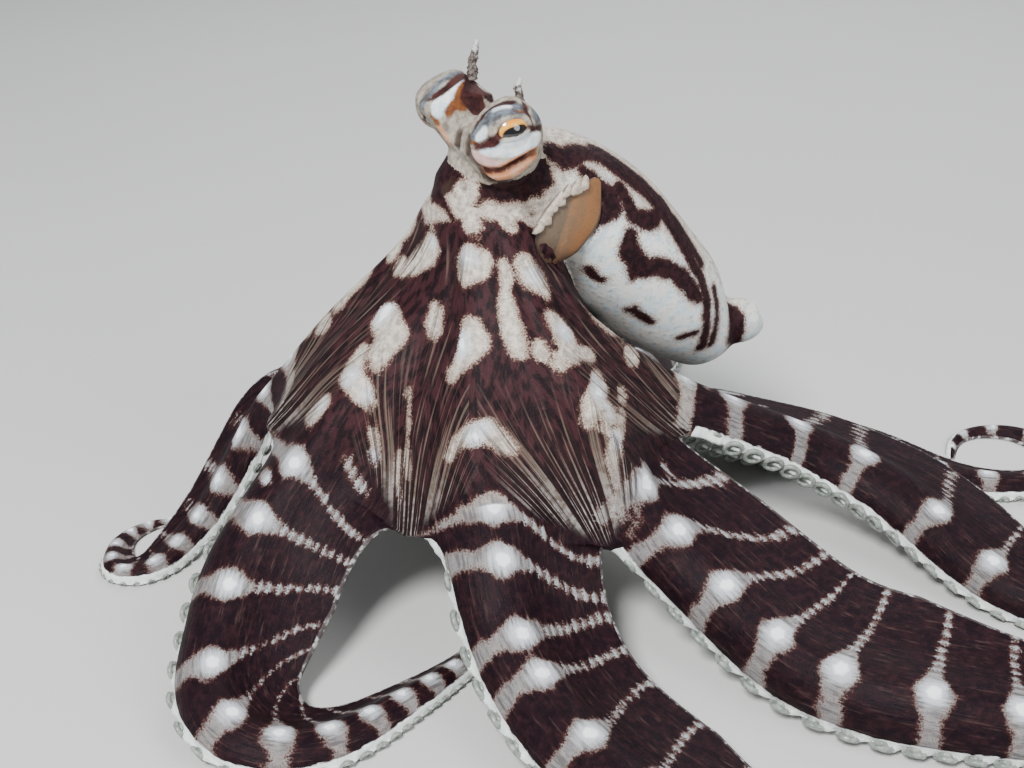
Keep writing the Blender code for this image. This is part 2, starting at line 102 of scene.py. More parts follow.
ARMS = {
    1: (178, -1, 0.68, [(-17.5, 3.5, 60, 0), (-30, 6.5, 46, 0), (-43.5, 6.5, 30, 5), (-54.5, 1.5, 17, 5),
                        (-61, -6.5, 10, 0), (-65.5, -12.5, 8, 0), (-70, -12.5, 7, 0), (-72.5, -7, 6, 0),
                        (-72, -1, 5, 0), (-68, 4, 4, 0), (-61, 6.5, 2, 0)]),
    2: (222, 1, 1.0, [(-13, -7.5, 58, 0), (-26.5, -14.5, 41, 0), (-35.5, -20.5, 29, -6), (-42.5, -29, 20, -6),
                      (-45.5, -41, 13.5, 0), (-44.5, -53, 10, 0), (-37, -60, 8, 0), (-27, -58, 7, 0),
                      (-17.5, -49.5, 5, 0), (-9, -40, 4, 0), (-2, -29, 3, 0), (3, -18, 2, 0)]),
    3: (262, 1, 1.0, [(-5, -14.5, 55, 0), (-6, -23.5, 45, 0), (-5.5, -30, 37, 0), (-2.5, -35.5, 28, 0),
                      (-1, -40.5, 20, 0), (3, -51, 13, 0), (11, -65, 10, 5), (24, -80, 9, 8), (45, -92, 8, 8),
                      (70, -96, 6, 5), (95, -90, 4, 0), (110, -77, 3, 0), (109, -64, 1.5, 0)]),
    4: (292, 1, 1.0, [(3.5, -16.5, 56, 0), (12, -24, 43.5, 0), (20, -27, 31, 10), (27, -30.5, 21.5, 20),
                      (34.5, -38, 15.5, 26), (44, -49, 12, 32), (60, -57, 11, 32), (78, -60, 10, 30),
                      (98, -60, 8, 26), (120, -57, 6, 18), (141, -47, 4, 8), (154, -31, 3, 0),
                      (155, -14, 1.5, 0)]),
    5: (325, 1, 1.0, [(8, -11, 57, 0), (18, -7.5, 45, 0), (33, 1, 32, 0), (46, 4.5, 25, 0), (57, 5, 20, 0),
                      (67, 0, 16.5, 0), (74.5, -8, 13.5, 6), (84, -22, 11, 20), (99, -29, 9, 26),
                      (116, -30, 7, 18), (133, -21, 5, 5), (139, -7, 4, 0), (133, 4, 1.5, 0)]),
    6: (5, 1, 0.9, [(9, 2.2, 53, 0), (16, 9, 39, 0), (26, 18, 24.5, 0), (38, 26, 14, 0), (53, 30, 8.5, 0),
                    (69, 27, 7.5, 0), (84, 19, 7, 0), (97, 16.5, 6, 0), (108, 20.5, 5.5, 0),
                    (111.5, 31, 5, 0), (104.5, 39.5, 4, 0), (94.5, 38, 3, 0), (90, 29.5, 1.5, 0)]),
    7: (60, 1, 0.95, [(2, 11, 53, 0), (8, 21.5, 39, 0), (17, 35.5, 25, 0), (26, 51, 15, 0), (32, 68, 10, 0),
                      (33, 84, 8, 0), (27, 98, 6, 0), (14, 104, 5, 0), (3, 98, 4, 0), (2, 87, 3, 0),
                      (10, 81, 1.5, 0)]),
    8: (120, -1, 0.95, [(-10, 12, 56, 0), (-16.5, 24, 42, 0), (-20, 37, 27, 0), (-19, 51, 16, 0),
                        (-15, 65, 10, 0), (-14, 80, 8, 0), (-22, 92, 6, 0), (-34, 90, 5, 0), (-38, 79, 4, 0),
                        (-31, 71, 3, 0), (-23, 76, 1.5, 0)]),
}
ARCHES = {
    (1, 2): (50, (-43, -7, 28)), (2, 3): (50, (-17, -31, 20.5)), (3, 4): (54, (15, -33.5, 20)),
    (4, 5): (47, (30, -9, 27)), (5, 6): (55, (34.5, 16.5, 19)), (6, 7): (55, (22.5, 32.5, 16)),
    (7, 8): (52, (-1, 41, 20)), (8, 1): (48, (-34.5, 24, 25.5)),
}
HEAD = [(-4.5, 0.5, 63.0, 8.4, 8.4, 8.4), (-4.6, 0.4, 68.0, 8.8, 8.6, 8.8), (-4.6, 0, 73.0, 8.0, 7.4, 8.0),
        (-4.4, -0.4, 77.0, 6.4, 6.0, 6.4), (-4.2, -0.6, 80.0, 3.8, 3.6, 3.8),
        (-4.0, -0.6, 81.2, 1.0, 1.0, 1.0)]
MANTLE = [(-5.2, -0.3, 71.6, 2.4, 2.4, 2.4), (-2.8, 1.3, 70.9, 6.2, 5.6, 5.4),
          (1.5, 4.1, 68.8, 9.6, 9.3, 8.0), (8.1, 8.4, 63.0, 12.6, 12.4, 10.2),
          (15.8, 12.9, 54.9, 14.1, 13.3, 11.6), (23.8, 17.0, 46.7, 14.2, 11.6, 12.0),
          (30.4, 20.5, 39.6, 12.8, 10.2, 11.3), (35.4, 22.8, 34.7, 10.2, 8.4, 9.6),
          (38.9, 24.3, 31.3, 6.2, 5.4, 6.2), (40.6, 25.1, 29.9, 1.4, 1.4, 1.4)]
MANTLE_TIP = [(36.0, 19.6, 37.0, 3.2, 3.4, 3.4), (40.2, 19.6, 36.6, 4.8, 5.2, 5.0),
              (43.8, 20.2, 35.4, 4.0, 4.6, 4.4), (46.4, 21.0, 34.8, 2.0, 2.4, 2.2),
              (47.6, 21.4, 35.0, 0.6, 0.6, 0.6)]
EYE_MOUND_LEFT = [(-3.0, -2.6, 71.6, 3.8, 3.8, 3.8), (-2.4, -4.0, 74.2, 5.7, 5.3, 5.5),
                  (-1.4, -5.4, 77.4, 6.6, 6.1, 6.1), (-0.6, -6.1, 80.8, 6.1, 5.3, 5.5),
                  (-0.2, -6.3, 83.7, 4.2, 3.6, 3.8), (0.0, -6.3, 85.6, 1.2, 1.2, 1.2)]
EYE_MOUND_RIGHT = [(-6.6, 1.6, 72.6, 3.2, 3.2, 3.2), (-7.6, 3.0, 75.6, 5.0, 4.8, 4.8),
                   (-8.8, 4.4, 79.2, 7.0, 6.0, 6.0), (-9.4, 5.0, 82.6, 6.6, 5.2, 5.6),
                   (-9.2, 5.2, 85.2, 4.2, 3.4, 3.6), (-9.0, 5.2, 86.8, 1.0, 1.0, 1.0)]
HORN_LEFT = [(1.0, -5.4, 83.4, 1.3, 1.2, 1.2), (1.1, -5.2, 85.4, 0.95, 0.9, 0.9),
             (0.9, -5.2, 86.8, 0.8, 0.8, 0.8), (1.3, -5.0, 88.2, 0.4, 0.4, 0.4)]
HORN_RIGHT = [(-6.6, 5.4, 85.2, 1.6, 1.4, 1.4), (-6.4, 5.6, 87.6, 1.1, 1.0, 1.0),
              (-6.0, 5.6, 89.8, 0.85, 0.8, 0.8), (-5.6, 5.8, 91.6, 0.4, 0.4, 0.4)]
EYE_LEFT = (-0.9, -8.2, 80.8)
EYE_RIGHT = (-11.8, 8.2, 80.4)
OPENING = [(14.1, -2.0, 70.9, 0.6, 0.8, 0.8), (12.1, -3.7, 67.8, 2.0, 4.2, 4.2),
           (9.5, -5.1, 64.4, 2.6, 5.0, 5.0), (6.9, -6.5, 61.2, 2.4, 4.5, 4.5),
           (5.0, -7.6, 58.0, 0.9, 1.6, 1.6)]
SIPHON = [(0.0, 7.0, 67.5, 3.2, 3.0, 3.0), (-1.5, 11.5, 67.0, 2.9, 2.7, 2.7),
          (-3.5, 15.5, 65.5, 2.4, 2.3, 2.3), (-6.0, 18.5, 63.5, 2.2, 2.1, 2.1)]

# keel spots of each arm: keel length, and how far the stripe has run along by the membrane's edge
# (thirteen of the keel lengths on arms 2, 3 and 4 are as a helper program printed them)
BANDS = {
    1: [(44, 3), (52, 2), (60, 1), (67, 0), (73.5, -1), (80, -2), (86, -3), (91.5, -3), (97, -3), (102, -2),
        (107, -2), (111, -1), (115, 0)],
    2: [(50.4, 6), (61.2, 0.5), (73.2, -4.4), (86.8, -10), (96.4, -13), (104.5, -13), (112, -11), (119, -9),
        (125.5, -7), (131.5, -5), (137, -4), (142, -3), (147, -2), (151.5, -1), (156, 0), (160, 0)],
    3: [(47.2, 11), (55.6, 8), (67.6, -1), (75, -2), (88, -7), (100, -6), (111, -4), (121, -2), (131, 0),
        (141, 0), (150, 0), (159, 0), (168, 0), (176, 0), (184, 0), (191, 0), (198, 0), (204, 0), (210, 0)],
    4: [(48.5, 8), (57.6, 10), (69.2, 5), (80.5, 1.5), (91.5, 2.5), (105.2, 2), (118, 1), (130, 0), (141, 0),
        (151, 0), (161, 0), (170, 0), (179, 0), (187, 0), (195, 0), (202, 0), (209, 0), (216, 0), (221, 0)],
    5: [(45, 8), (56.5, 8), (71, 6), (84.5, -3), (101, -6), (114, -4), (126, -2), (137, 0), (147, 0),
        (157, 0), (166, 0), (174, 0), (182, 0), (189, 0), (195, 0)],
    6: [(42, 4), (52, 4), (63, 2), (74, 0), (85, 0), (96, 0), (106, 0), (116, 0), (126, 0), (135, 0),
        (144, 0), (152, 0), (160, 0), (168, 0), (175, 0), (181, 0)],
    7: [(40, 4), (51, 4), (62, 2), (73, 0), (84, 0), (95, 0), (105, 0), (115, 0), (125, 0), (134, 0),
        (142, 0), (150, 0), (157, 0), (164, 0), (169, 0)],
    8: [(40, 4), (51, 4), (62, 2), (73, 0), (84, 0), (94, 0), (104, 0), (113, 0), (122, 0), (130, 0),
        (138, 0), (145, 0), (151, 0), (156, 0)],
}
# how deeply the web is pleated between two arms near the neck
PLEATED_NECK = {(1, 2): 1.0, (2, 3): 0.7, (3, 4): 0.0, (4, 5): 0.8}
# pale patches on the web and neck: chains of (arm, keel length, way across, radius)
PATCHES = [
    [(1, 8, 0, 2.4), (1, 12, 1, 2.0)], [(1, 22, 1, 2.6), (1, 27, 0, 2.0)], [(1, 34, -2, 2.2)],
    [(1, 15, -6, 1.8)],
    [(8, 8, 1, 2.6), (8, 12, 0, 2.4)], [(8, 20, -1, 2.8), (8, 26, 1, 2.2)], [(8, 33, 4, 2.2)],
    [(8, 24, 9, 1.8)],
    [(7, 9, -2, 2.2), (7, 13, 0, 2.6)], [(7, 22, 2, 2.8), (7, 28, 0, 2.2)], [(7, 35, -3, 2.0)],
    [(7, 33, 8, 1.8)],
    [(6, 30, 0, 2.6), (6, 34, 2, 2.0)], [(6, 16, 1, 2.4), (6, 20, 0, 2.0)], [(6, 28, 9, 1.8)],
    [(5, 34, 8, 2.2), (5, 40, 9, 1.8)], [(5, 18, 2, 2.2), (5, 24, 1, 2.0)], [(5, 31, -3, 2.0)],
    [(8, 15, 8, 1.8)], [(1, 30, 7, 1.8)], [(1, 38, 1, 1.8)],
]


# Marks on the skin: chains of (x, y, z, radius), named after what they are. This list is not a design:
# a helper program worked out nearly all of its numbers, and another wrote them in.
MARKS = {
    "pale": [
        [(-21.1, -7.8, 48.5, 2.7), (-19.8, -11.8, 47.5, 2.9), (-21.6, -13.2, 45.3, 2.3),
         (-21.7, -14.5, 43.9, 1.3)], [(-25.1, -10.9, 43.8, 1.5), (-26.7, -13.7, 41.3, 2.3),
         (-24.4, -16.7, 39.4, 1.8), (-23.2, -17.6, 37.8, 1)], [(-13.4, -5.5, 59.8, 2.6),
         (-16.1, -3.7, 56.8, 2), (-17.7, -3, 55.2, 1.2)], [(-19.6, 3.1, 56.9, 1.4),
         (-20.5, 3.1, 55.6, 1.4)], [(-28.1, 5.7, 47.9, 1.4), (-30.3, 5.4, 45.5, 1.4)],
         [(-7.4, -7.7, 70.8, 1.9), (-8.1, -7.6, 68.4, 1.9), (-11.3, -6.3, 67.1, 1.8),
         (-13.7, -3.1, 65, 1.1)], [(-6.4, -9.8, 65.8, 1.3), (-3.7, -8.3, 67.5, 1.4),
         (-0.2, -7.2, 66.9, 1.4), (2.2, -5, 66.2, 1.3), (5.5, -4.3, 68.1, 1.3)], [(-0.2, -7.2, 66.7, 1),
         (0, -9.5, 65.3, 0.8)], [(-6.7, -11.5, 60, 2.6), (-5.5, -12, 59.9, 2.4), (-7.3, -12, 57.6, 1.3)],
         [(-1.4, -12.7, 60.1, 0.8), (-0.7, -13.8, 58.5, 0.8), (-1.1, -14.9, 56.3, 1),
         (-0.7, -16.5, 53.6, 1.3), (0.2, -18.9, 50.5, 1.7), (1.3, -20.3, 48.6, 1.3)],
         [(4.2, -20.9, 49.3, 1.1), (4.8, -21.6, 48.4, 0.9)], [(1.9, -12.8, 60.6, 1.4),
         (3.5, -14, 58.3, 2.2), (5.2, -14.2, 56.4, 1.1)], [(6.4, -17.4, 52.9, 1.3),
         (8.4, -18.2, 50.4, 2.5), (9.2, -20.1, 48.6, 2.2), (7.5, -22.6, 47.5, 1.1)],
         [(9.8, -19.6, 48.1, 1.3), (12.7, -16, 46, 1)], [(-6.7, -16.8, 51.4, 1.4),
         (-6.1, -19.1, 49.4, 2.5), (-7.8, -20.6, 46.9, 1.6), (-9.5, -20.9, 44.8, 1.1)],
         [(-12.4, -12, 51.9, 1), (-12.6, -14.1, 48.8, 1.1)], [(14.1, -19.5, 42.7, 2.1),
         (13.1, -24.8, 41.6, 1.9), (11.9, -26.4, 39.3, 1.1)], [(15.8, -22.3, 39.3, 1.3),
         # the thin chain from (-16.7, -17.8, 41.1) to (-16.8, -22.1, 34.8) is a painted highlight along a
         # pleat crest of the web
         (14.9, -26.1, 38.4, 0.9)], [(-16.7, -17.8, 41.1, 0.1), (-16.8, -22.1, 34.8, 0.2)],
         [(-2.2, 13.2, 66.3, 3.3), (-6.5, 19.2, 63.0, 3.1)], [(-33.6, -13.9, 33.9, 1.5),
         (-31.3, -14.7, 36.2, 1.7),
         (-33.4, -16.5, 33.2, 0.8)], [(-41.3, -19, 25.3, 1.2), (-40.4, -21.4, 25.3, 0.8)],
         [(-22.8, -19.2, 33.6, 0.5), (-22.5, -20.3, 30.3, 0.8), (-22.2, -21.4, 28, 0.5)],
         [(-27.2, -20.3, 28.9, 0.6), (-26.1, -21, 26.7, 0.8), (-24.5, -22.1, 24.5, 1.2),
         (-21.9, -24.7, 22.8, 0.4), (-21.1, -26.5, 21.5, 0.4)], [(-18.4, -22.8, 31.1, 0.6),
         (-18.5, -25, 27.5, 0.7), (-18.1, -26.8, 25.5, 0.5)], [(-17, -23.6, 32.5, 0.5),
         (-16.7, -26.4, 29, 0.6)], [(-10.2, -29, 33.5, 0.6), (-8.6, -28.7, 36.8, 1.1),
         (-5.9, -29, 38.4, 1.7), (-3.7, -28.3, 38.8, 1.7), (-1.7, -29.1, 36.9, 1.4),
         (0, -29.6, 35.8, 0.9)], [(18.3, -15.6, 38.8, 1), (17.8, -17.4, 38.5, 0.8)],
         [(18.1, -19.9, 37.1, 0.8), (16.6, -26.3, 36, 1.1), (15.9, -27.9, 33.1, 1.1),
         (16.4, -28.9, 29.8, 0.6), (17, -29.8, 26.5, 0.4), (17.6, -30.6, 23.6, 0.6)],
         [(22, -24.5, 29.1, 1.8), (21, -28.2, 28.5, 1.1), (20, -29.4, 26.5, 0.6), (19.9, -30.5, 23.4, 0.5),
         (19.1, -31.3, 21.6, 0.6)], [(25.5, -17.6, 25.9, 0.7), (26.5, -18.8, 24.8, 0.5)],
         [(34.5, 1, 31.1, 0.5), (41, 20.3, 20.8, 1), (44.3, 21, 19.7, 0.6)], [(42.6, 4.1, 26.6, 0.7),
         (48.3, 17.5, 18.5, 0.6)], [(31.1, 18.2, 27.6, 0.8), (28.6, -2.9, 34.8, 0.5)],
         [(33.6, 18.1, 27, 0.6)], [(24.4, 11.1, 34, 0.7), (25.9, 13.8, 31.5, 0.6)],
    ],
    "glow": [
        [(-20.9, -6.5, 49.5, 1.5), (-21.8, -7.1, 48.3, 1.2)], [(-26.7, -14.1, 41, 1.2)],
         [(-7, -11, 60.7, 1)], [(-8, -17.8, 49.4, 1), (-7.9, -19, 48.2, 1)], [(8.4, -17.8, 50.6, 1.1)],
         [(13.9, -21.1, 42.4, 1.4), (13.6, -22.8, 42.2, 1.1)], [(-23.9, -16.9, 39.1, 0.7)],
         [(-13.1, -5.5, 61, 0.7)], [(3.4, -13.7, 58.6, 0.8)], [(15.5, -23.4, 39.2, 0.6)],
         [(-31.6, -14.6, 35.9, 0.7)], [(-5.9, -29.3, 38.1, 1.1), (-4.1, -28.1, 39.1, 0.6)],
         [(16.6, -26.3, 36, 0.8)], [(21.6, -26.5, 29.2, 1.1)], [(-40.4, -20.8, 25.5, 0.7)],
         [(-22.7, -20.6, 29.5, 0.5)], [(-24.6, -22.3, 24.1, 0.7)],
    ],
    "net": [
        [(6.7, 0, 74.6, 1.5), (8.5, -0.1, 73.5, 1.8), (10.8, 2.7, 73.4, 1.5), (12.7, 4, 72.6, 1.3),
         (14.9, 5, 71.2, 1.3), (17.1, 5.3, 69.5, 1.3), (19.5, 5.6, 67.5, 1.3), (21.6, 6.5, 65.7, 1.1),
         (23.3, 6.5, 63.9, 1), (25.2, 7.3, 62, 1), (27, 6.8, 59.5, 1), (28.8, 7.1, 57.1, 1.1),
         (30.8, 7.1, 53.9, 1), (32.4, 7.2, 51, 0.9)], [(13.7, 5.5, 73.8, 1), (15.9, 6.5, 72.4, 1.2),
         (18.1, 6.8, 70.7, 1.2), (20.5, 7.1, 68.7, 1.2), (22.6, 8, 66.9, 1.2), (24.4, 8, 65.1, 1.2),
         (26.2, 8.8, 63.1, 1.2), (28, 8.5, 60.7, 1.2), (29.8, 8.8, 58.2, 1.2), (31.8, 8.8, 55, 1.1),
         (33.4, 8.8, 52, 0.9)], [(11.6, 0.2, 71.4, 0.7), (13, 0.3, 70.3, 0.8),
         (14.2, -0.1, 68.7, 1.2), (16.1, 0.1, 66.8, 1.8), (16.5, -0.5, 65.4, 1.8), (14.9, -1.9, 64.4, 1.2),
         (13.6, -2.6, 63.4, 0.7), (12.3, -3, 61.9, 0.5)], [(18, 2.3, 67.1, 1.3), (19.3, 1.9, 65.2, 1),
         (20.3, 1.4, 63.1, 1), (22.1, 2.5, 62, 1.3), (23.7, 3.9, 61.5, 1.4), (24.6, 6.4, 62.3, 0.9)],
         [(19.8, -0.2, 60.3, 1), (19.7, -0.7, 58, 1.5), (21.1, -0.1, 55.6, 1.7), (22.5, 0.5, 53.9, 1.4),
         (24.8, 1.6, 54, 1.2), (26.4, 2.5, 53.2, 1.2), (28.3, 3.6, 52, 1.2), (30.3, 4.6, 50, 1.4),
         (31.6, 5.3, 47.8, 1.2), (32.9, 6.1, 46.4, 0.9)], [(32.8, 7.4, 50.7, 0.7), (34, 7.3, 47.3, 0.7),
         (34.8, 7.5, 43.3, 0.6), (34.9, 8.5, 38.5, 0.5), (34.5, 10.6, 34.3, 0.5)], [(36, 9.6, 46.7, 0.3),
         (36.9, 9.5, 41, 0.3), (36.4, 11.3, 34.6, 0.3)], [(38.3, 21.2, 41, 0.3), (38.2, 15.5, 38.1, 0.3),
         (38.4, 18.2, 32.4, 0.3)], [(39.6, 17.9, 41.3, 0.6), (40.7, 16.4, 40.4, 1.3),
         (41.3, 15.2, 38.4, 1.7), (41.2, 15, 35.1, 1.5), (40.8, 17.9, 31.6, 0.9)], [(5.2, -2.7, 73, 0.6),
         (5.5, -3.7, 71.1, 0.8)], [(20.3, -0.4, 54.7, 0.8), (20.6, 0, 52.5, 0.3)],
         [(12.9, -0.9, 54.2, 0.5), (13.7, -0.5, 53.1, 0.6), (15.3, -0.2, 52.1, 0.3)],
         [(20.4, 2.8, 45.2, 0.5), (21.2, 2.7, 45.3, 0.7), (22.5, 3.3, 44, 0.6), (24.1, 4.2, 42.3, 0.5)],
         [(30, 7, 37.9, 0.3), (31.2, 7, 38.3, 0.4), (33.1, 7.4, 38.9, 0.3)],
    ],
    "neck": [
        [(-4.6, -8.1, 71.4, 0.8), (-2.9, -8.1, 70.5, 1.4), (-0.3, -7.2, 70, 1.6), (2.1, -5.2, 69.9, 1.4),
         (4.4, -4.3, 69.4, 1)], [(-7.3, -8, 78.2, 0.2), (-8.2, -5.8, 75.5, 0.2), (-8.6, -6.7, 72.4, 0.2)],
    ],
    "edge": [
        [(4.6, -11, 59.9, 0.4), (5.8, -12.5, 57.3, 0.5), (7.2, -13.7, 54.6, 0.6), (8.9, -13.6, 52.7, 0.5),
         (11.4, -13.3, 49.9, 0.2), (14.4, -12.5, 46.6, 0.2), (16.2, -12.5, 43.9, 0.2)],
    ],
    "steel": [
        [(-6.1, -9.4, 80.1, 1.1), (-4.9, -9.7, 82, 1.5), (-3.4, -9.8, 83.4, 1.7), (-1.4, -9.7, 84.2, 1.7),
         (0.4, -9.4, 84.3, 1.5), (1.5, -8.8, 84.4, 1.2)], [(4.1, -6.7, 82.6, 1.2), (3.7, -4.6, 82.9, 0.9)],
         [(-14.9, 0.8, 81.9, 0.6), (-13.1, 1.9, 83.9, 0.6), (-10.6, 3, 86.1, 0.6), (-8.2, 4.7, 86.7, 0.6)],
    ],
    # blue-white skin under the near eye and on the far mound; the first two chains are painted highlights on
    # the grey-blue part of the near mound
    "pearl_and_highlight": [
        [(-5.1, -10.5, 80.2, 0.8), (-4.3, -10.7, 81.4, 0.7)], [(-2.5, -9.3, 84.1, 0.5),
         (-0.6, -9.1, 84.7, 0.5)], [(-4.6, -11.2, 78.1, 0.6), (-3.3, -11.8, 78.5, 0.9),
         (-1.6, -12, 79, 1.4), (0.5, -11.7, 79.3, 1.5), (2.3, -10.7, 79.7, 1.5), (4, -8.8, 79.9, 1.1)],
         [(-7.4, 2.9, 85.6, 0.5), (-8.8, 0.6, 85, 0.8), (-10.4, 0.2, 83.6, 1.3), (-11.6, -0.8, 82.7, 1.4),
         (-11.9, -1.4, 81.8, 1)], [(-4.6, 3, 83.8, 0.3), (-4, 2.2, 83.4, 0.4)],
    ],
    "pink": [
        [(-6.2, -10, 77.6, 0.6), (-4.8, -11, 76.7, 1.1), (-3.4, -11.4, 76.1, 1), (-1.5, -11.6, 76.2, 0.6)],
    ],
    "lip": [
        [(-1.9, -11.6, 76.1, 0.3), (-0.1, -11.6, 76.8, 0.5), (1.3, -11.2, 77.5, 0.5),
         (2.7, -10.3, 78.4, 0.4), (3.8, -9.1, 78.3, 0.2)], [(-4.7, -10.3, 74.6, 0.5),
         (-2.8, -10.7, 74, 0.7), (-0.7, -10.8, 74.4, 0.8), (1, -10.5, 75, 0.7), (2.4, -10, 76.1, 0.6),
         (3.6, -9, 76.8, 0.5)], [(-11.8, -1.6, 79.3, 0.5), (-11.1, -1.2, 77.6, 0.6),
         (-10.3, -1, 76.3, 0.4)],
    ],
    "amber": [
        [(-6.8, -8.8, 79.1, 0.3), (-5.3, -10.6, 79.3, 0.3), (-4, -11.4, 79.9, 0.3)],
         [(0.8, -9.9, 83.8, 0.5), (1.8, -9.1, 84, 0.3)], [(-7.5, 2, 85.3, 0.7), (-8.1, -0.1, 84.3, 1),
         (-8.1, -0.6, 82.7, 1.1)], [(-9.3, -0.5, 82.9, 0.6), (-10.1, -1.8, 81.6, 0.6)],
         [(-13.3, -1, 81.1, 0.3), (-11.9, -1.7, 80, 0.4)],
    ],
    "ink": [
        [(-6.3, -8.5, 80.8, 0.3), (-5.3, -8.3, 82.5, 0.5), (-3.9, -7.9, 83.8, 0.6), (-2.3, -8, 84.8, 0.7),
         (-0.6, -8.1, 85.2, 0.6), (0.8, -7.6, 85.3, 0.3)], [(2.1, -6.7, 84.7, 0.5), (2.4, -8.4, 83.9, 0.6),
         (2.8, -9.1, 83, 0.6), (3.3, -9.2, 82.1, 0.5)], [(2.6, -10.1, 81.7, 0.6), (4, -8.6, 81.3, 0.6),
         (4.9, -6, 80.7, 0.5)], [(-6.4, -9.7, 78.5, 0.3), (-5.3, -10.7, 78.9, 0.5),
         (-4.1, -11.4, 79.4, 0.6), (-3, -11.8, 80, 0.9), (-1.9, -11.8, 80.9, 0.9),
         (-1.4, -11.7, 81.6, 0.8)], [(-1.4, -11.3, 82.6, 0.3), (0, -10.5, 83.5, 0.3),
         (1.5, -9.8, 83.6, 0.4)], [(-6.8, 6.7, 85.5, 1), (-6.5, 2.2, 84.9, 1.4), (-6.1, 0.3, 83.6, 1.9),
         (-5.3, 0.3, 81.8, 1.6)], [(-5.7, 3.3, 84.7, 1.1), (-4.2, 2.9, 83.6, 1), (-3.1, 4.8, 82.1, 0.8)],
         [(-7.5, 4.8, 86.3, 0.6), (-9, 2.4, 85.9, 0.7), (-10.5, 1, 85.1, 0.7), (-12.1, 1.1, 83.9, 0.6),
         (-13.3, 0.9, 83.2, 0.4)],
    ],
    "crease": [
        [(-5, -10.4, 75.3, 0.2), (-3.3, -11, 75, 0.2), (-1.6, -11.3, 75.3, 0.2), (-0.1, -11.4, 76.1, 0.3),
         (1.2, -11, 76.8, 0.3), (2.7, -10.2, 77.5, 0.2), (3.7, -9.2, 77.6, 0.2)],
    ],
    "fold": [
        [(-7, -8.8, 77.8, 0.2), (-6.7, -9.3, 76.7, 0.2), (-5.8, -9.9, 75.6, 0.2), (-4.6, -10.1, 74, 0.3),
         (-2.7, -9.8, 72.6, 0.3), (-0.4, -9.8, 72.8, 0.2)], [(-8.5, -3.5, 79, 0.2), (-9, -4.7, 76.4, 0.3),
         (-9.4, -5.4, 74.3, 0.2), (-9.9, -5.7, 72.2, 0.3), (-10.9, -5.2, 70.3, 0.3)],
         [(-7, -7.9, 79.5, 0.3), (-7.2, -8.4, 77.7, 0.4), (-7.4, -7.9, 75.9, 0.3), (-8, -6.6, 73.8, 0.2)],
         [(-10, -5.7, 71.9, 0.2), (-11.3, -4.8, 69.9, 0.3)], [(-8, -7.2, 72.1, 0.2),
         (-7.8, -7.5, 71, 0.2)],
    ],
}


# ---------------------------------------------------------------- curves and sections
def unit(v):
    v = np.asarray(v, float)
    return v / np.maximum(np.linalg.norm(v, axis=-1, keepdims=True), 1e-9)


def smooth(a, b, x):
    t = np.clip((np.asarray(x, float) - a) / (b - a), 0, 1)
    return t * t * (3 - 2 * t)


def spline(points, count=400):
    """Natural cubic spline through the points: lengths along it and rows of values."""
    p = np.asarray(points, float)
    k = np.concatenate([[0], np.cumsum(np.linalg.norm(np.diff(p[:, :3], axis=0), axis=1))])
    n, h = len(p), np.diff(k)
    a, b = np.zeros((n, n)), np.zeros((n, p.shape[1]))
    a[0, 0] = a[-1, -1] = 1
    for i in range(1, n - 1):
        a[i, i - 1], a[i, i], a[i, i + 1] = h[i - 1], 2 * (h[i - 1] + h[i]), h[i]
        b[i] = 6 * ((p[i + 1] - p[i]) / h[i] - (p[i] - p[i - 1]) / h[i - 1])
    m = np.linalg.solve(a, b)
    u = np.linspace(0, k[-1], count)
    j = np.clip(np.searchsorted(k, u, side="right") - 1, 0, n - 2)
    w, v, d = (k[j + 1] - u)[:, None], (u - k[j])[:, None], h[j][:, None]
    q = (m[j] * w ** 3 + m[j + 1] * v ** 3) / (6 * d)
    q = q + (p[j] / d - m[j] * d / 6) * w + (p[j + 1] / d - m[j + 1] * d / 6) * v
    s = np.concatenate([[0], np.cumsum(np.linalg.norm(np.diff(q[:, :3], axis=0), axis=1))])
    return s, q


def sample(s, curve, values):
    return np.stack([np.interp(s, curve, values[:, i]) for i in range(values.shape[1])], axis=-1)


def square_to(tangent):
    side = unit(np.cross([0, 0, 1.0], tangent))
    return side, np.cross(tangent, side)


def neck_height(x, y):
    m = math.radians(MANTLE_BEARING)
    run = (x - NECK_CENTRE[0]) * math.cos(m) + (y - NECK_CENTRE[1]) * math.sin(m)
    return NECK_CENTRE[2] - NECK_TILT * run


def neck_point(bearing, radius):
    b = math.radians(bearing)
    x, y = NECK_CENTRE[0] + radius * math.cos(b), NECK_CENTRE[1] + radius * math.sin(b)
    return np.array([x, y, neck_height(x, y)])


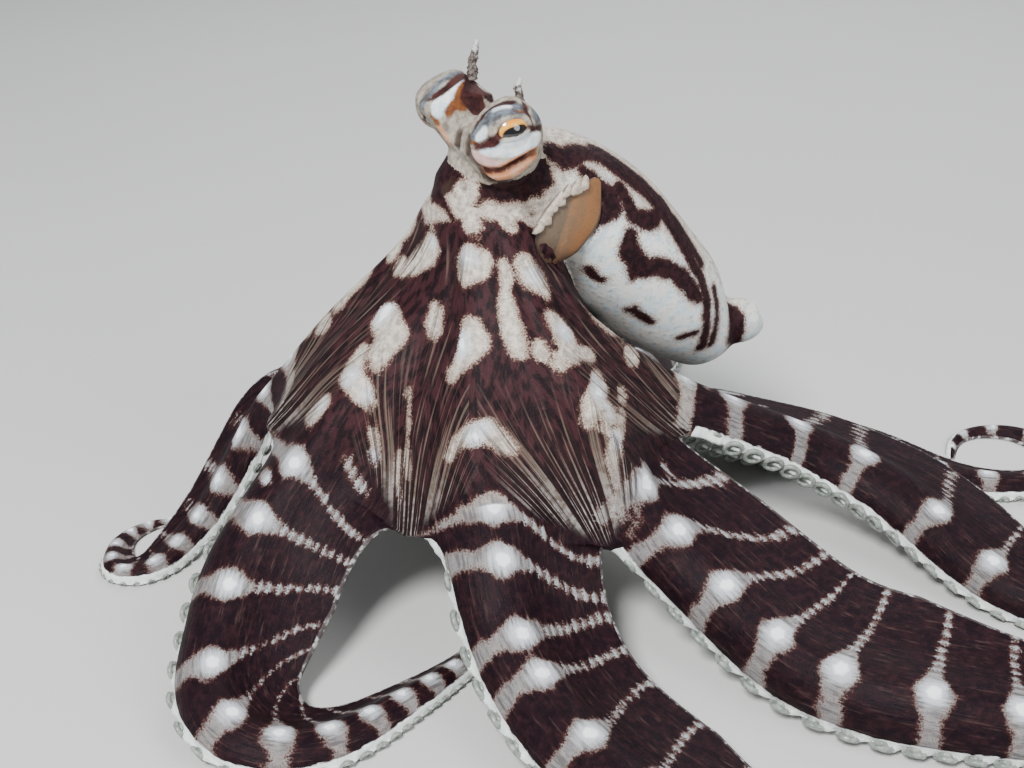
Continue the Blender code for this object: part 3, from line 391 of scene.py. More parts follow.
class Arm:
    """One arm: its keel line and the size of its section along the length."""

    def __init__(self, number):
        self.number = number
        self.bearing, self.fin_side, self.size, stations = ARMS[number]
        start = (*neck_point(self.bearing, NECK_RADIUS), 0.0)
        self.curve, self.values = spline([start] + stations)
        self.length = self.curve[-1]
        rest = smooth(REST_START, REST_END, self.curve / self.length)
        self.values[:, 2] += (self.core(self.curve) * ARM_HEIGHT - self.values[:, 2]) * rest
        self.values[:, 3] *= self.fin_side
        heading = np.unwrap(np.arctan2(*np.gradient(self.values[:, :2], self.curve, axis=0).T[::-1]))
        self.turning = np.convolve(np.gradient(heading, self.curve), np.ones(9) / 9, "same")

    def core(self, s):
        q = np.clip((np.asarray(s, float) / self.length - TAPER_START) / (1 - TAPER_START), 0, 1)
        return self.size * (1 + (TIP_SHARE - 1) * q)

    def fin(self, s):
        q = np.clip((np.asarray(s, float) / self.length - TAPER_START) / (1 - TAPER_START), 0, 1)
        return self.size * (1 - q) ** 2

    def reach(self, s):
        """How far the skin reaches on the side of the membrane."""
        return (ARM_HALF_WIDTH * self.core(s) + (FIN_WIDTH - ARM_HALF_WIDTH) * self.fin(s))[:, None]

    def inside_bend(self, s):
        """The shift that evens a membrane's rim where it would bunch on the inner side of a bend."""
        run = np.arange(0, self.length, 1.0)
        keel, across, _ = self.at(run)
        rim = keel + self.fin_side * self.reach(run) * across
        crowding = self.fin_side * np.interp(run, self.curve, self.turning)[:, None] * self.reach(run)
        near = np.exp(-0.5 * ((run[:, None] - run) / BEND_REACH) ** 2)
        near /= near.sum(1, keepdims=True)
        share = np.clip(1.8 * near @ smooth(0.3, 0.9, crowding), 0, 1)
        return sample(s, run, (near @ rim - rim) * share)

    def sucker_phase(self, s):
        """How many suckers of one row lie between the mouth and this keel length."""
        run = np.arange(0, self.length + 1, 0.5)
        pitch = SUCKER_PITCH * self.core(run) * (0.45 + 0.55 * smooth(10, 60, run))
        return np.interp(s, run, np.concatenate([[0], np.cumsum(0.5 / pitch)[:-1]]))

    def at(self, s):
        q = sample(s, self.curve, self.values)
        ahead, behind = (sample(np.clip(s + step, 0, self.length), self.curve, self.values[:, :3])
                         for step in (LOOK, -LOOK))
        side, up = square_to(unit(ahead - behind))
        c, n = np.cos(np.radians(q[:, 3:])), np.sin(np.radians(q[:, 3:]))
        return q[:, :3], side * c + up * n, up * c - side * n


def pair_of(number, side):
    """The two arms that share the web on one side of an arm, in the order of their bearings."""
    return (number, number % 8 + 1) if side > 0 else ((number - 2) % 8 + 1, number)


def middle_bearing(first, second):
    a, b = ARMS[first][0], ARMS[second][0]
    return (a + b + (360 if b < a else 0)) / 2


def web_line(arms, pair, s):
    part, apex = ARCHES[pair]
    u = np.clip(s, 0, part)
    ends = np.array([0.0, part])
    mid, end = (sum(arms[i].at(v)[0] for i in pair) / 2 for v in (u, ends))
    w = (u / part)[:, None]
    start = neck_point(middle_bearing(*pair), NECK_RADIUS) - end[0]
    return mid + start * (1 - w) ** 2 + (np.array(apex) - end[1]) * w ** 1.6


def web_up(arms, pair, s):
    ahead, behind = web_line(arms, pair, s + LOOK), web_line(arms, pair, np.maximum(s - LOOK, 0))
    part = ARCHES[pair][0]
    fixed = np.diff(web_line(arms, pair, np.array([part - 3.0, part])), axis=0)
    return square_to(unit(np.where((s < part)[:, None], ahead - behind, fixed)))[1]


def half_section(arms, arm, s, side):
    """Skin from the keel out to one edge, round the edge, and back under to the middle."""
    pair = pair_of(arm.number, side)
    keel, across, up = arm.at(s)
    line, line_up = web_line(arms, pair, s), web_up(arms, pair, s)
    core, fin = arm.core(s)[:, None], arm.fin(s)[:, None]
    is_fin = side == arm.fin_side
    rim, drop = ARM_HALF_WIDTH * core, RIM_DROP * core
    width = arm.reach(s) if is_fin else rim
    way = side * width * across
    if is_fin:
        drop = drop + (FIN_DROP - RIM_DROP) * fin
        way = way + arm.inside_bend(s)
    free = keel + way - drop * up
    run = np.clip((s - ARCHES[pair][0]) / ARCH_RUN, 0, 1)
    loose = np.sqrt(1 - (1 - run) ** 2)[:, None]
    edge = line * (1 - loose) + free * loose
    slow = smooth(ARCHES[pair][0] - 14, ARCHES[pair][0] + 16, s)[:, None]

    def pulled(t):
        """How far a column has turned from the web to the free arm, its reach, its fall and its arch."""
        share = loose * t ** 5 + slow * (1 - t ** 5)
        reach = line * (1 - share) + free * share - keel
        fall = (reach * up).sum(-1, keepdims=True)
        reach = reach - fall * up
        spread = np.linalg.norm(reach, axis=-1, keepdims=True) / (KEEL_WIDTH * core)
        return share, reach, fall, (1 - np.exp(-(t * spread) ** 2)) / (1 - np.exp(-spread ** 2))

    def outer(t):
        share, reach, fall, hump = pulled(t)
        point = keel + reach * t + fall * up * hump
        if not is_fin:
            turn = t * math.pi / 2
            round_off = keel + reach * math.sin(turn) + fall * up * (1 - math.cos(turn))
            point = point * (1 - share) + round_off * share
        return point

    def under(t, deep):
        """Point of the under side: share of the way out, and depth under the keel once the arm is free."""
        share, reach, fall, hump = pulled(np.minimum(t, 1.0))
        depth = SHEET + (BODY_DEPTH * core - SHEET) * np.exp(-(2.2 * t) ** 2)
        attached = keel + reach * t + fall * up * hump - depth * up
        edge_share = smooth(0.8, 1.0, t)
        attached = attached * (1 - edge_share) + (edge - SHEET * line_up) * edge_share
        if deep is None:
            deep = -fall * hump + thick
        return attached * (1 - share) + (keel + t * way - deep * up) * share

    thick = SHEET * (0.35 + 0.65 * core)
    outs = [outer(t) for t in (FIN_OUT if is_fin else RIM_OUT)]
    walls, ins, shares = [], [], []
    phase = 2 * math.pi * arm.sucker_phase(s)[:, None]
    swell = (np.sin(phase) + 0.35 * np.sin(3.1 * phase + 1)) * core * loose
    if is_fin:
        walls = [edge + loose * side * 0.3 * thick * across - k * thick * (loose * up + (1 - loose) * line_up)
                 for k in (0.33, 0.67)]
        for m in (1.0, 0.72, 0.45, 0.2):
            t = (rim + m * (width - rim)) / width
            ins.append(under(t, None))
            shares.append(t)
        for r, d in ((1.0, 1.08), (0.86, 1.0), (0.6, 1.0), (0.3, 1.0)):
            t = rim * r / width
            ins.append(under(t, ORAL_DEPTH * core * d))
            shares.append(t)
    else:
        walls = [edge + loose * (side * (0.45 * core + 0.42 * swell) * across - 0.35 * core * up)
                 - (1 - loose) * SHEET * 0.33 * line_up,
                 edge + loose * (side * (0.2 * core + 0.38 * swell) * across - 0.9 * core * up)
                 - (1 - loose) * SHEET * 0.67 * line_up]
        outs[-1] = outs[-1] + side * 0.4 * swell * across + 0.12 * swell * up
        for r, d in ((0.93, 1.1), (0.82, 1.0), (0.6, 1.0), (0.3, 1.0)):
            t = np.full_like(core, r) if r < 0.93 else 1.0 - 0.07 * loose
            ins.append(under(t, ORAL_DEPTH * core * d))
            shares.append(t)
    return outs, walls, ins, [np.broadcast_to(t, core.shape) for t in shares], loose[:, 0]


FIN_OUT = np.linspace(0, 1, 19)[1:]
RIM_OUT = np.linspace(0, 1, 14)[1:]


def arm_skin(arms, number, s):
    """Rings of one arm's skin, and for every point what its colours need."""
    arm = arms[number]
    keel, _, up = arm.at(s)
    core = arm.core(s)[:, None]
    sides = {side: half_section(arms, arm, s, side) for side in (-1, 1)}
    free = sides[1][4][:, None]
    centre = keel - (BODY_DEPTH * core * (1 - free) + ORAL_DEPTH * core * free) * up
    columns, facts = [], []
    before, after = (middle_bearing(*pair_of(number, side)) for side in (-1, 1))
    after += 360 if after < before else 0
    middle = (before + after) / 2
    keep = smooth(10, 26, s)[:, None]

    def add(side, point, far, kind, edge):
        columns.append(point)
        facts.append((side, far, kind, edge))

    def inward(point, t, side):
        half = (after - middle) if side > 0 else (middle - before)
        turn = np.radians(middle + side * t[:, 0] * half)
        x, y = NECK_CENTRE[0] + MOUTH_RADIUS * np.cos(turn), NECK_CENTRE[1] + MOUTH_RADIUS * np.sin(turn)
        top = neck_height(x, y)
        axis = np.stack([x, y, top + (MOUTH_HEIGHT - top) * np.clip(s / 14, 0, 1)], axis=-1)
        return axis * (1 - keep) + point * keep

    outs = {}
    for side in (-1, 1):
        chain = [keel] + sides[side][0]
        steps = [np.linalg.norm(b - a, axis=-1) for a, b in zip(chain, chain[1:])]
        far = np.cumsum(steps, axis=0)
        outs[side] = [(p, f, far[-1] - f) for p, f in zip(sides[side][0], far)]
    for p, far, left in outs[-1][::-1]:
        add(-1, p, -far, 0, left)
    add(0, keel, np.zeros(len(s)), 0, FAR)
    for p, far, left in outs[1]:
        add(1, p, far, 0, left)
    for side in (1, -1):
        _, walls, ins, shares, _ = sides[side]
        far = side * outs[side][-1][1]
        below = [(w, far, 1, 0.0) for w in walls]
        below += [(inward(p, t, side), far * np.minimum(t[:, 0], 1), 2, 0.6 + i)
                  for i, (p, t) in enumerate(zip(ins, shares))]
        for column in below[::side]:
            add(side, *column)
        if side > 0:
            add(0, inward(centre, np.zeros((len(s), 1)), 1), np.zeros(len(s)), 2, FAR)
    rings = np.stack(columns, axis=1)
    rings[s == 0, :, 2] = neck_height(rings[s == 0, :, 0], rings[s == 0, :, 1])
    rings[..., 2] = np.maximum(rings[..., 2], LOWEST)
    across, edge = (np.stack([np.broadcast_to(f[i], s.shape) for f in facts], axis=1) for i in (1, 3))
    side_of, kind = (np.array([f[i] for f in facts]) for i in (0, 2))
    loose = {side: sides[side][4] for side in sides}
    return rings, across * arm.fin_side, kind, edge, loose, side_of


def arm_rows(arm):
    parts = np.array([float(p) for p, _ in ARCHES.values()])
    fine = np.concatenate([np.arange(0, 46, 1.5), np.arange(46, COMMON_RUN + 0.1, 1.0)])
    curl = np.concatenate([parts + d for d in (0.2, 0.75, 1.6)])
    rows = sorted(set(np.round(parts, 3)))
    for value in np.concatenate([np.sort(curl), fine]):
        if min(abs(value - r) for r in rows) > 0.16:
            rows.append(value)
    rows = np.array(sorted(rows))
    step = 1.0 if arm.number in FRONT_ARMS else 1.35
    count = max(8, round((arm.length - COMMON_RUN) / step))
    return np.concatenate([rows, np.linspace(COMMON_RUN, arm.length, count)[1:]])


def build_crown(arms):
    """All eight arms and the web between them as one closed mesh, with its colour facts."""
    points, faces = [], []
    facts = {name: [] for name in ("run", "across", "kind", "arm", "rim", "hem", "web")}
    base = 0
    for number, arm in arms.items():
        s = arm_rows(arm)
        rings, across, kind, edge, loose, side_of = arm_skin(arms, number, s)
        rows, count = rings.shape[:2]
        index = base + np.arange(rows * count).reshape(rows, count)
        skip = {side: ARCHES[pair_of(number, side)][0] for side in (1, -1)}
        for r in range(rows - 1):
            for i in range(count):
                j = (i + 1) % count
                wall = kind[i] == 1 or kind[j] == 1 or (kind[i] == 0) != (kind[j] == 0)
                side = side_of[i] if side_of[i] else side_of[j]
                if wall and s[r + 1] <= skip[side] + 1e-6:
                    continue
                faces.append((index[r, i], index[r, j], index[r + 1, j], index[r + 1, i]))
        last = rings[-1].mean(axis=0)
        end = last + 0.5 * unit(last - rings[-4].mean(axis=0))
        end[2] = max(end[2], 0.1)
        tip = base + rows * count
        points.append(np.concatenate([rings.reshape(-1, 3), [end]]))
        for i in range(count):
            faces.append((index[-1, i], index[-1, (i + 1) % count], tip))
        # the cap at the neck joins the outer row to the mouth channel
        up_side = [i for i in range(count) if kind[i] == 0]
        low_side = [i for i in range(count) if kind[i] == 2]
        faces.append(tuple(index[0, i] for i in reversed(up_side + low_side)))

        def flat(values):
            return np.concatenate([np.broadcast_to(values, (rows, count)).reshape(-1), [0.0]])

        facts["run"].append(flat(s[:, None]))
        facts["across"].append(flat(across))
        facts["kind"].append(flat(kind.astype(float)))
        facts["arm"].append(flat(float(number)))
        # the lines along the edges fade out where the arm is tied to the web, the folds where it is free
        for name, side in (("hem", arm.fin_side), ("rim", -arm.fin_side)):
            tied = 1 - smooth(0.0, 0.5, loose[side][:, None])
            facts[name].append(flat(np.where(side_of == side, edge + 25 * tied, FAR)))
        own = np.where(side_of > 0, loose[1][:, None], loose[-1][:, None])
        facts["web"].append(flat(np.where(side_of == 0, FAR, edge + 20 * smooth(0.3, 1.0, own))))
        base += rows * count + 1
    points = np.concatenate(points)
    return points, faces, {k: np.concatenate(v) for k, v in facts.items()}


def tube_rings(stations, count, grow, rows):
    """Rings square to a curve, half widths given at its stations."""
    curve, values = spline(stations)
    s = np.linspace(0, curve[-1], rows)
    q = sample(s, curve, values)
    ahead, behind = np.clip(s + 0.5, 0, curve[-1]), np.clip(s - 0.5, 0, curve[-1])
    tangent = unit((sample(ahead, curve, values) - sample(behind, curve, values))[:, :3])
    q[0, :3] -= tangent[0] * grow
    q[-1, :3] += tangent[-1] * grow
    upright = abs(tangent[0, 2]) > 0.9
    lead = np.array([1.0, 0, 0]) if upright else np.array([0, 0, 1.0])
    side = unit(np.cross(tangent, lead)) if upright else unit(np.cross(lead, tangent))
    up = np.cross(tangent, side)
    turn = np.arange(count) * 2 * math.pi / count
    c, n = np.cos(turn)[None, :, None], np.sin(turn)[None, :, None]
    tall = np.where(n > 0, q[:, None, 4:5], q[:, None, 5:6]) + grow
    return q[:, None, :3] + side[:, None] * c * (q[:, None, 3:4] + grow) + up[:, None] * n * tall


# ---------------------------------------------------------------- meshes
def new_object(name, points, faces):
    mesh = bpy.data.meshes.new(name)
    mesh.from_pydata([tuple(p) for p in points], [], [tuple(int(i) for i in f) for f in faces])
    mesh.validate()
    made = bpy.data.objects.new(name, mesh)
    bpy.context.collection.objects.link(made)
    return made


def closed_tube(rings):
    rows, count = rings.shape[:2]
    index = np.arange(rows * count).reshape(rows, count)
    faces = [(index[r, i], index[r, (i + 1) % count], index[r + 1, (i + 1) % count], index[r + 1, i])
             for r in range(rows - 1) for i in range(count)]
    faces.append(tuple(reversed(range(count))))
    faces.append(tuple((rows - 1) * count + i for i in range(count)))
    return rings.reshape(-1, 3), faces


def joined(parts):
    points, faces, base = [], [], 0
    for p, f in parts:
        points.append(p)
        faces += [tuple(i + base for i in face) for face in f]
        base += len(p)
    return np.concatenate(points), faces


def outwards(obj):
    bm = bmesh.new()
    bm.from_mesh(obj.data)
    bmesh.ops.remove_doubles(bm, verts=bm.verts, dist=1e-4)
    bmesh.ops.recalc_face_normals(bm, faces=bm.faces)
    bm.to_mesh(obj.data)
    bm.free()


def closed_piece(name, points, faces):
    """An object of closed forms with every face turned outwards."""
    made = new_object(name, points, faces)
    outwards(made)
    return made


def apply_modifiers(obj):
    graph = bpy.context.evaluated_depsgraph_get()
    mesh = bpy.data.meshes.new_from_object(obj.evaluated_get(graph))
    obj.modifiers.clear()
    old, obj.data = obj.data, mesh
    bpy.data.meshes.remove(old)
    mesh.name = obj.name


def coordinates(mesh):
    co = np.empty(len(mesh.vertices) * 3)
    mesh.vertices.foreach_get("co", co)
    return co.reshape(-1, 3)


def set_coordinates(mesh, co):
    mesh.vertices.foreach_set("co", np.ascontiguousarray(co).reshape(-1))
    mesh.update()


def normals(mesh):
    no = np.empty(len(mesh.vertices) * 3)
    mesh.vertices.foreach_get("normal", no)
    return no.reshape(-1, 3)


def attribute(mesh, name, values):
    made = mesh.attributes.get(name) or mesh.attributes.new(name, "FLOAT", "POINT")
    made.data.foreach_set("value", np.asarray(values, np.float32))


ACROSS_BODY = np.array([-math.sin(math.radians(MANTLE_BEARING)), math.cos(math.radians(MANTLE_BEARING)), 0])
BODY_PLACE = np.array([*BODY_AXIS, 0])


def eye_frame(side):
    look = unit(np.array([0.38, -0.9, 0.28]))
    if side == "right":
        look = look - 2 * (look @ ACROSS_BODY) * ACROSS_BODY
    right = unit(np.cross([0, 0, 1.0], look))
    up = np.cross(look, right)
    roll = math.radians(EYE_ROLL if side == "left" else -EYE_ROLL)
    return look, right * math.cos(roll) + up * math.sin(roll), up * math.cos(roll) - right * math.sin(roll)


def chain_distance(co, chain):
    """Signed distance into a chain of discs joined by tapering limbs, positive inside."""
    best = np.full(len(co), -1e9)
    links = list(zip(chain, chain[1:])) or [(chain[0], chain[0])]
    for (a, ra), (b, rb) in links:
        ab = b - a
        t = np.clip(((co - a) @ ab) / max(ab @ ab, 1e-9), 0, 1)
        far = np.linalg.norm(co - a - t[:, None] * ab, axis=1)
        best = np.maximum(best, ra + (rb - ra) * t - far)
    return best


def mirrored(point):
    away = (np.array(point) - np.array(MIDLINE)) @ ACROSS_BODY
    return np.array(point) - 2 * away * ACROSS_BODY


def marked(co, layer, both=True):
    """Signed distance into one layer of marks, on one side of the body or the same on both."""
    field = np.full(len(co), NO_MARK)
    for chain in MARKS[layer]:
        for flip in (False, True) if both else (False,):
            links = [(mirrored(p[:3]) if flip else np.array(p[:3]), p[3]) for p in chain]
            field = np.maximum(field, chain_distance(co, links))
    return field


def build_head():
    """Head, mantle, eye mounds and siphon melted into one closed form."""
    forms = ((HEAD, 64, 0, 40), (MANTLE, 72, -0.15, 90), (MANTLE_TIP, 32, -0.1, 20),
             (EYE_MOUND_LEFT, 48, -0.1, 30), (EYE_MOUND_RIGHT, 48, -0.1, 30), (SIPHON, 28, -0.1, 24))
    head = closed_piece("head_form", *joined([closed_tube(tube_rings(*form)) for form in forms]))
    melt = head.modifiers.new("melt", "REMESH")
    melt.mode, melt.voxel_size = "VOXEL", SKIN_VOXEL
    apply_modifiers(head)
    relax(head.data, np.ones(len(head.data.vertices)), 12, 0.5, 0.53)
    relax(head.data, np.ones(len(head.data.vertices)), 2)
    flatten_far_brow(head.data)
    refine_round_eyes(head)
    press_creases(head.data)
    for side, centre in (("left", EYE_LEFT), ("right", EYE_RIGHT)):
        open_lids(head.data, centre, *eye_frame(side))
    return head


def flatten_far_brow(mesh):
    """Draw the under side of the right eye's mound in, so that the brow ends in a blunt point."""
    co = coordinates(mesh)
    point, out = np.array([-15.2, 5.0, 80.5]), unit([-0.8, -0.306, -0.6])
    past = np.maximum((co - point) @ out, 0) * smooth(70.0, 74.0, co[:, 2])
    set_coordinates(mesh, co - out * (0.9 * past * (co[:, 0] < -5))[:, None])
    relax(mesh, smooth(9.0, 5.0, np.linalg.norm(co - np.array([-13.0, 4.5, 77.5]), axis=1)), 4)
    q = coordinates(mesh) - np.array(EYE_RIGHT)
    r = np.maximum(np.linalg.norm(q, axis=1), 0.1)
    set_coordinates(mesh, coordinates(mesh) + q * (np.maximum(EYE_RADIUS + 0.4 - r, 0) / r)[:, None])


def neighbours(mesh):
    """Pairs of points that share an edge."""
    edges = np.empty(len(mesh.edges) * 2, dtype=np.int64)
    mesh.edges.foreach_get("vertices", edges)
    return edges.reshape(-1, 2)


def press_creases(mesh):
    """Sink the skin folds of the cheeks and neck and puff up the skin between them."""
    co = coordinates(mesh)
    crease, fold, lip, pearl_and_highlight, ink = (marked(co, name) for name in ("crease", "fold", "lip", "pearl_and_highlight", "ink"))
    lift = -0.5 * smooth(-0.8, 0.1, crease) - 0.5 * smooth(-0.8, 0.0, fold) - 0.2 * smooth(-0.6, 0.3, ink)
    lift += 0.3 * smooth(-0.8, 0.4, lip) + 0.15 * smooth(-0.6, 0.6, pearl_and_highlight)
    set_coordinates(mesh, co + normals(mesh) * lift[:, None])


def relax(mesh, weight, rounds, strength=0.5, back=0.0):
    co, e = coordinates(mesh), neighbours(mesh)
    count = np.bincount(e.reshape(-1), minlength=len(co)).astype(float)[:, None]
    weight = np.asarray(weight)[:, None]
    for step in [strength, -back][:2 if back else 1] * rounds:
        total = np.zeros_like(co)
        np.add.at(total, e[:, 0], co[e[:, 1]])
        np.add.at(total, e[:, 1], co[e[:, 0]])
        co = co + (total / np.maximum(count, 1) - co) * weight * step
    set_coordinates(mesh, co)


def refine_round_eyes(head):
    bm = bmesh.new()
    bm.from_mesh(head.data)
    for centre in (EYE_LEFT, EYE_RIGHT):
        c = Vector(centre)
        near = [e for e in bm.edges if (e.verts[0].co - c).length < 5.6 and (e.verts[1].co - c).length < 5.6]
        bmesh.ops.subdivide_edges(bm, edges=near, cuts=1, use_grid_fill=True)
    bmesh.ops.triangulate(bm, faces=[f for f in bm.faces if len(f.verts) > 4])
    bm.to_mesh(head.data)
    bm.free()


def open_lids(mesh, centre, look, right, up):
    """Fit the skin round the eyeball and open it in a long oval with raised lids."""
    co = coordinates(mesh)
    q = co - np.array(centre)
    ahead, u, v = q @ look, q @ right, q @ up
    r = np.linalg.norm(q, axis=1)
    front = (ahead > 0) & (r < 7.5)
    oval = np.sqrt((u / 2.2) ** 2 + ((v - 0.1) / np.where(v > 0.1, 1.3, 0.9)) ** 2)
    lid = EYE_RADIUS + 0.28 + 0.35 * np.exp(-((oval - 1.25) / 0.3) ** 2)
    wanted = np.maximum(r, lid)
    wanted = wanted + (np.minimum(lid, wanted) - wanted) * np.exp(-np.maximum(oval - 1.3, 0) ** 2 / 0.5)
    inside = smooth(1.04, 0.9, oval)
    wanted = wanted * (1 - inside) + (EYE_RADIUS - 0.7) * inside
    co[front] += (q / np.maximum(r, 1e-6)[:, None] * (wanted - r)[:, None])[front]
    set_coordinates(mesh, co)


def opening_place(co):
    """Place in the mantle's opening: share of the length, out of the body, across, and half width there."""
    _, values = spline(OPENING, 60)
    tangent = unit(np.gradient(values[:, :3], axis=0))
    side = unit(np.cross([0, 0, 1.0], tangent))
    up = np.cross(tangent, side)
    far = np.array([np.linalg.norm(co - p, axis=1) for p in values[:, :3]])
    at = far.argmin(axis=0)
    q = co - values[at, :3]
    return at / 59, (q * side[at]).sum(1), (q * up[at]).sum(1), values[at, 3], values[at, 4], side[at]


def sink_opening(mesh):
    """Sink the skin under the flesh of the opening, with a raised and frilled border."""
    co = coordinates(mesh)
    along, out, across, thin, wide, side = opening_place(co)
    frill = np.where(across > 0, 0.92 + 0.09 * np.sign(np.sin(17 * along)), 1.0)
    share = np.abs(across) / np.maximum(wide * frill, 0.6)
    near = (out > -1.5) & (out < 5.0) & (along > 0.01) & (along < 0.99)
    deep = thin * np.sqrt(np.clip(1 - share ** 2, 0, 1)) - 1.2
    sink = np.where(near, np.maximum(out - deep, 0) * smooth(1.06, 0.94, share), 0)
    rim = np.where(near, 0.4 * np.exp(-((share - 1.2) / 0.16) ** 2), 0)
    set_coordinates(mesh, co + side * (rim - sink)[:, None])


def build_skin(arms):
    points, faces, facts = build_crown(arms)
    crown = new_object("octopus_skin", points, faces)
    bm = bmesh.new()
    bm.from_mesh(crown.data)
    keep = bm.verts.layers.int.new("was")
    for i, v in enumerate(bm.verts):
        v[keep] = i
    bmesh.ops.remove_doubles(bm, verts=bm.verts, dist=2e-4)
    bmesh.ops.holes_fill(bm, edges=[e for e in bm.edges if e.is_boundary], sides=8)
    bmesh.ops.recalc_face_normals(bm, faces=bm.faces)
    bm.to_mesh(crown.data)
    bm.free()
    was = np.empty(len(crown.data.vertices), dtype=np.int32)
    crown.data.attributes["was"].data.foreach_get("value", was)
    facts = {k: v[was] for k, v in facts.items()}
    crown.data.attributes.remove(crown.data.attributes["was"])
    tops = np.array([apex for _, apex in ARCHES.values()])
    to_top = np.min([np.linalg.norm(coordinates(crown.data) - top, axis=1) for top in tops], axis=0)
    relax(crown.data, smooth(7.0, 2.5, to_top), 8, 0.5, 0.5)
    crown_points = coordinates(crown.data)
    head = build_head()
    head_points = coordinates(head.data)
    union = crown.modifiers.new("head", "BOOLEAN")
    union.operation, union.solver, union.object = "UNION", "EXACT", head
    apply_modifiers(crown)
    mesh = crown.data
    co = coordinates(mesh)
    own, own_far = nearest(crown_points, co)
    _, head_far = nearest(head_points, co)
    from_head = head_far < own_far
    crease = co[np.minimum(own_far, head_far) > 1e-4]
    if len(crease):
        _, far = nearest(crease, co)
        relax(mesh, smooth(3.2, 0.4, far), 30)
    sink_opening(mesh)
    facts = {k: v[own] for k, v in facts.items()}
    facts["from_head"] = from_head.astype(float)
    bpy.data.objects.remove(head)
    return crown, facts


def nearest(cloud, queries):
    tree = kdtree.KDTree(len(cloud))
    for i, p in enumerate(cloud):
        tree.insert(p, i)
    tree.balance()
    index, far = np.empty(len(queries), dtype=np.int64), np.empty(len(queries))
    for i, p in enumerate(queries):
        _, index[i], far[i] = tree.find(p)
    return index, far


arms = {number: Arm(number) for number in ARMS}
skin, facts = build_skin(arms)


# ---------------------------------------------------------------- colour facts of the skin
def outer_point(arm_number, s, far):
    """Point of the outer skin at a keel length and a way across (positive towards the membrane)."""
    arm = arms[arm_number]
    side = arm.fin_side if far >= 0 else -arm.fin_side
    run = np.array([float(s)])
    chain = [arm.at(run)[0]] + half_section(arms, arm, run, side)[0]
    chain = np.array([c[0] for c in chain])
    length = np.concatenate([[0], np.cumsum(np.linalg.norm(np.diff(chain, axis=0), axis=1))])
    return sample(np.array([abs(far)]), length, chain)[0]


def band_field(facts):
    """Signed distance into the pale bands across the arms, and nearness to the bright keel spots."""
    pale = np.full(len(facts["run"]), NO_MARK)
    spot = np.full(len(facts["run"]), 9.0)
    run, across = facts["run"], facts["across"]
    for number, bands in BANDS.items():
        arm = arms[number]
        mine = np.where(facts["arm"] == number)[0]
        s, w = run[mine], across[mine]
        for at, lean in bands:
            size = float(arm.core(at))
            bend = np.where(w > 0, lean * smooth(0, 16.5, w), 0.05 * w * w / 7)
            centre = at + bend
            half = np.where(w > 0, 0.7, 1.25 + 0.5 * smooth(4.5, 7.5, -w)) + 2.0 * np.exp(-(w / 3.3) ** 2)
            half = half * (0.35 + 0.65 * size)
            d = half - abs(s - centre)
            pale[mine] = np.maximum(pale[mine], d)
            ball = np.hypot(s - at, w) / (0.4 + 0.6 * size)
            spot[mine] = np.minimum(spot[mine], ball)
    return pale, spot


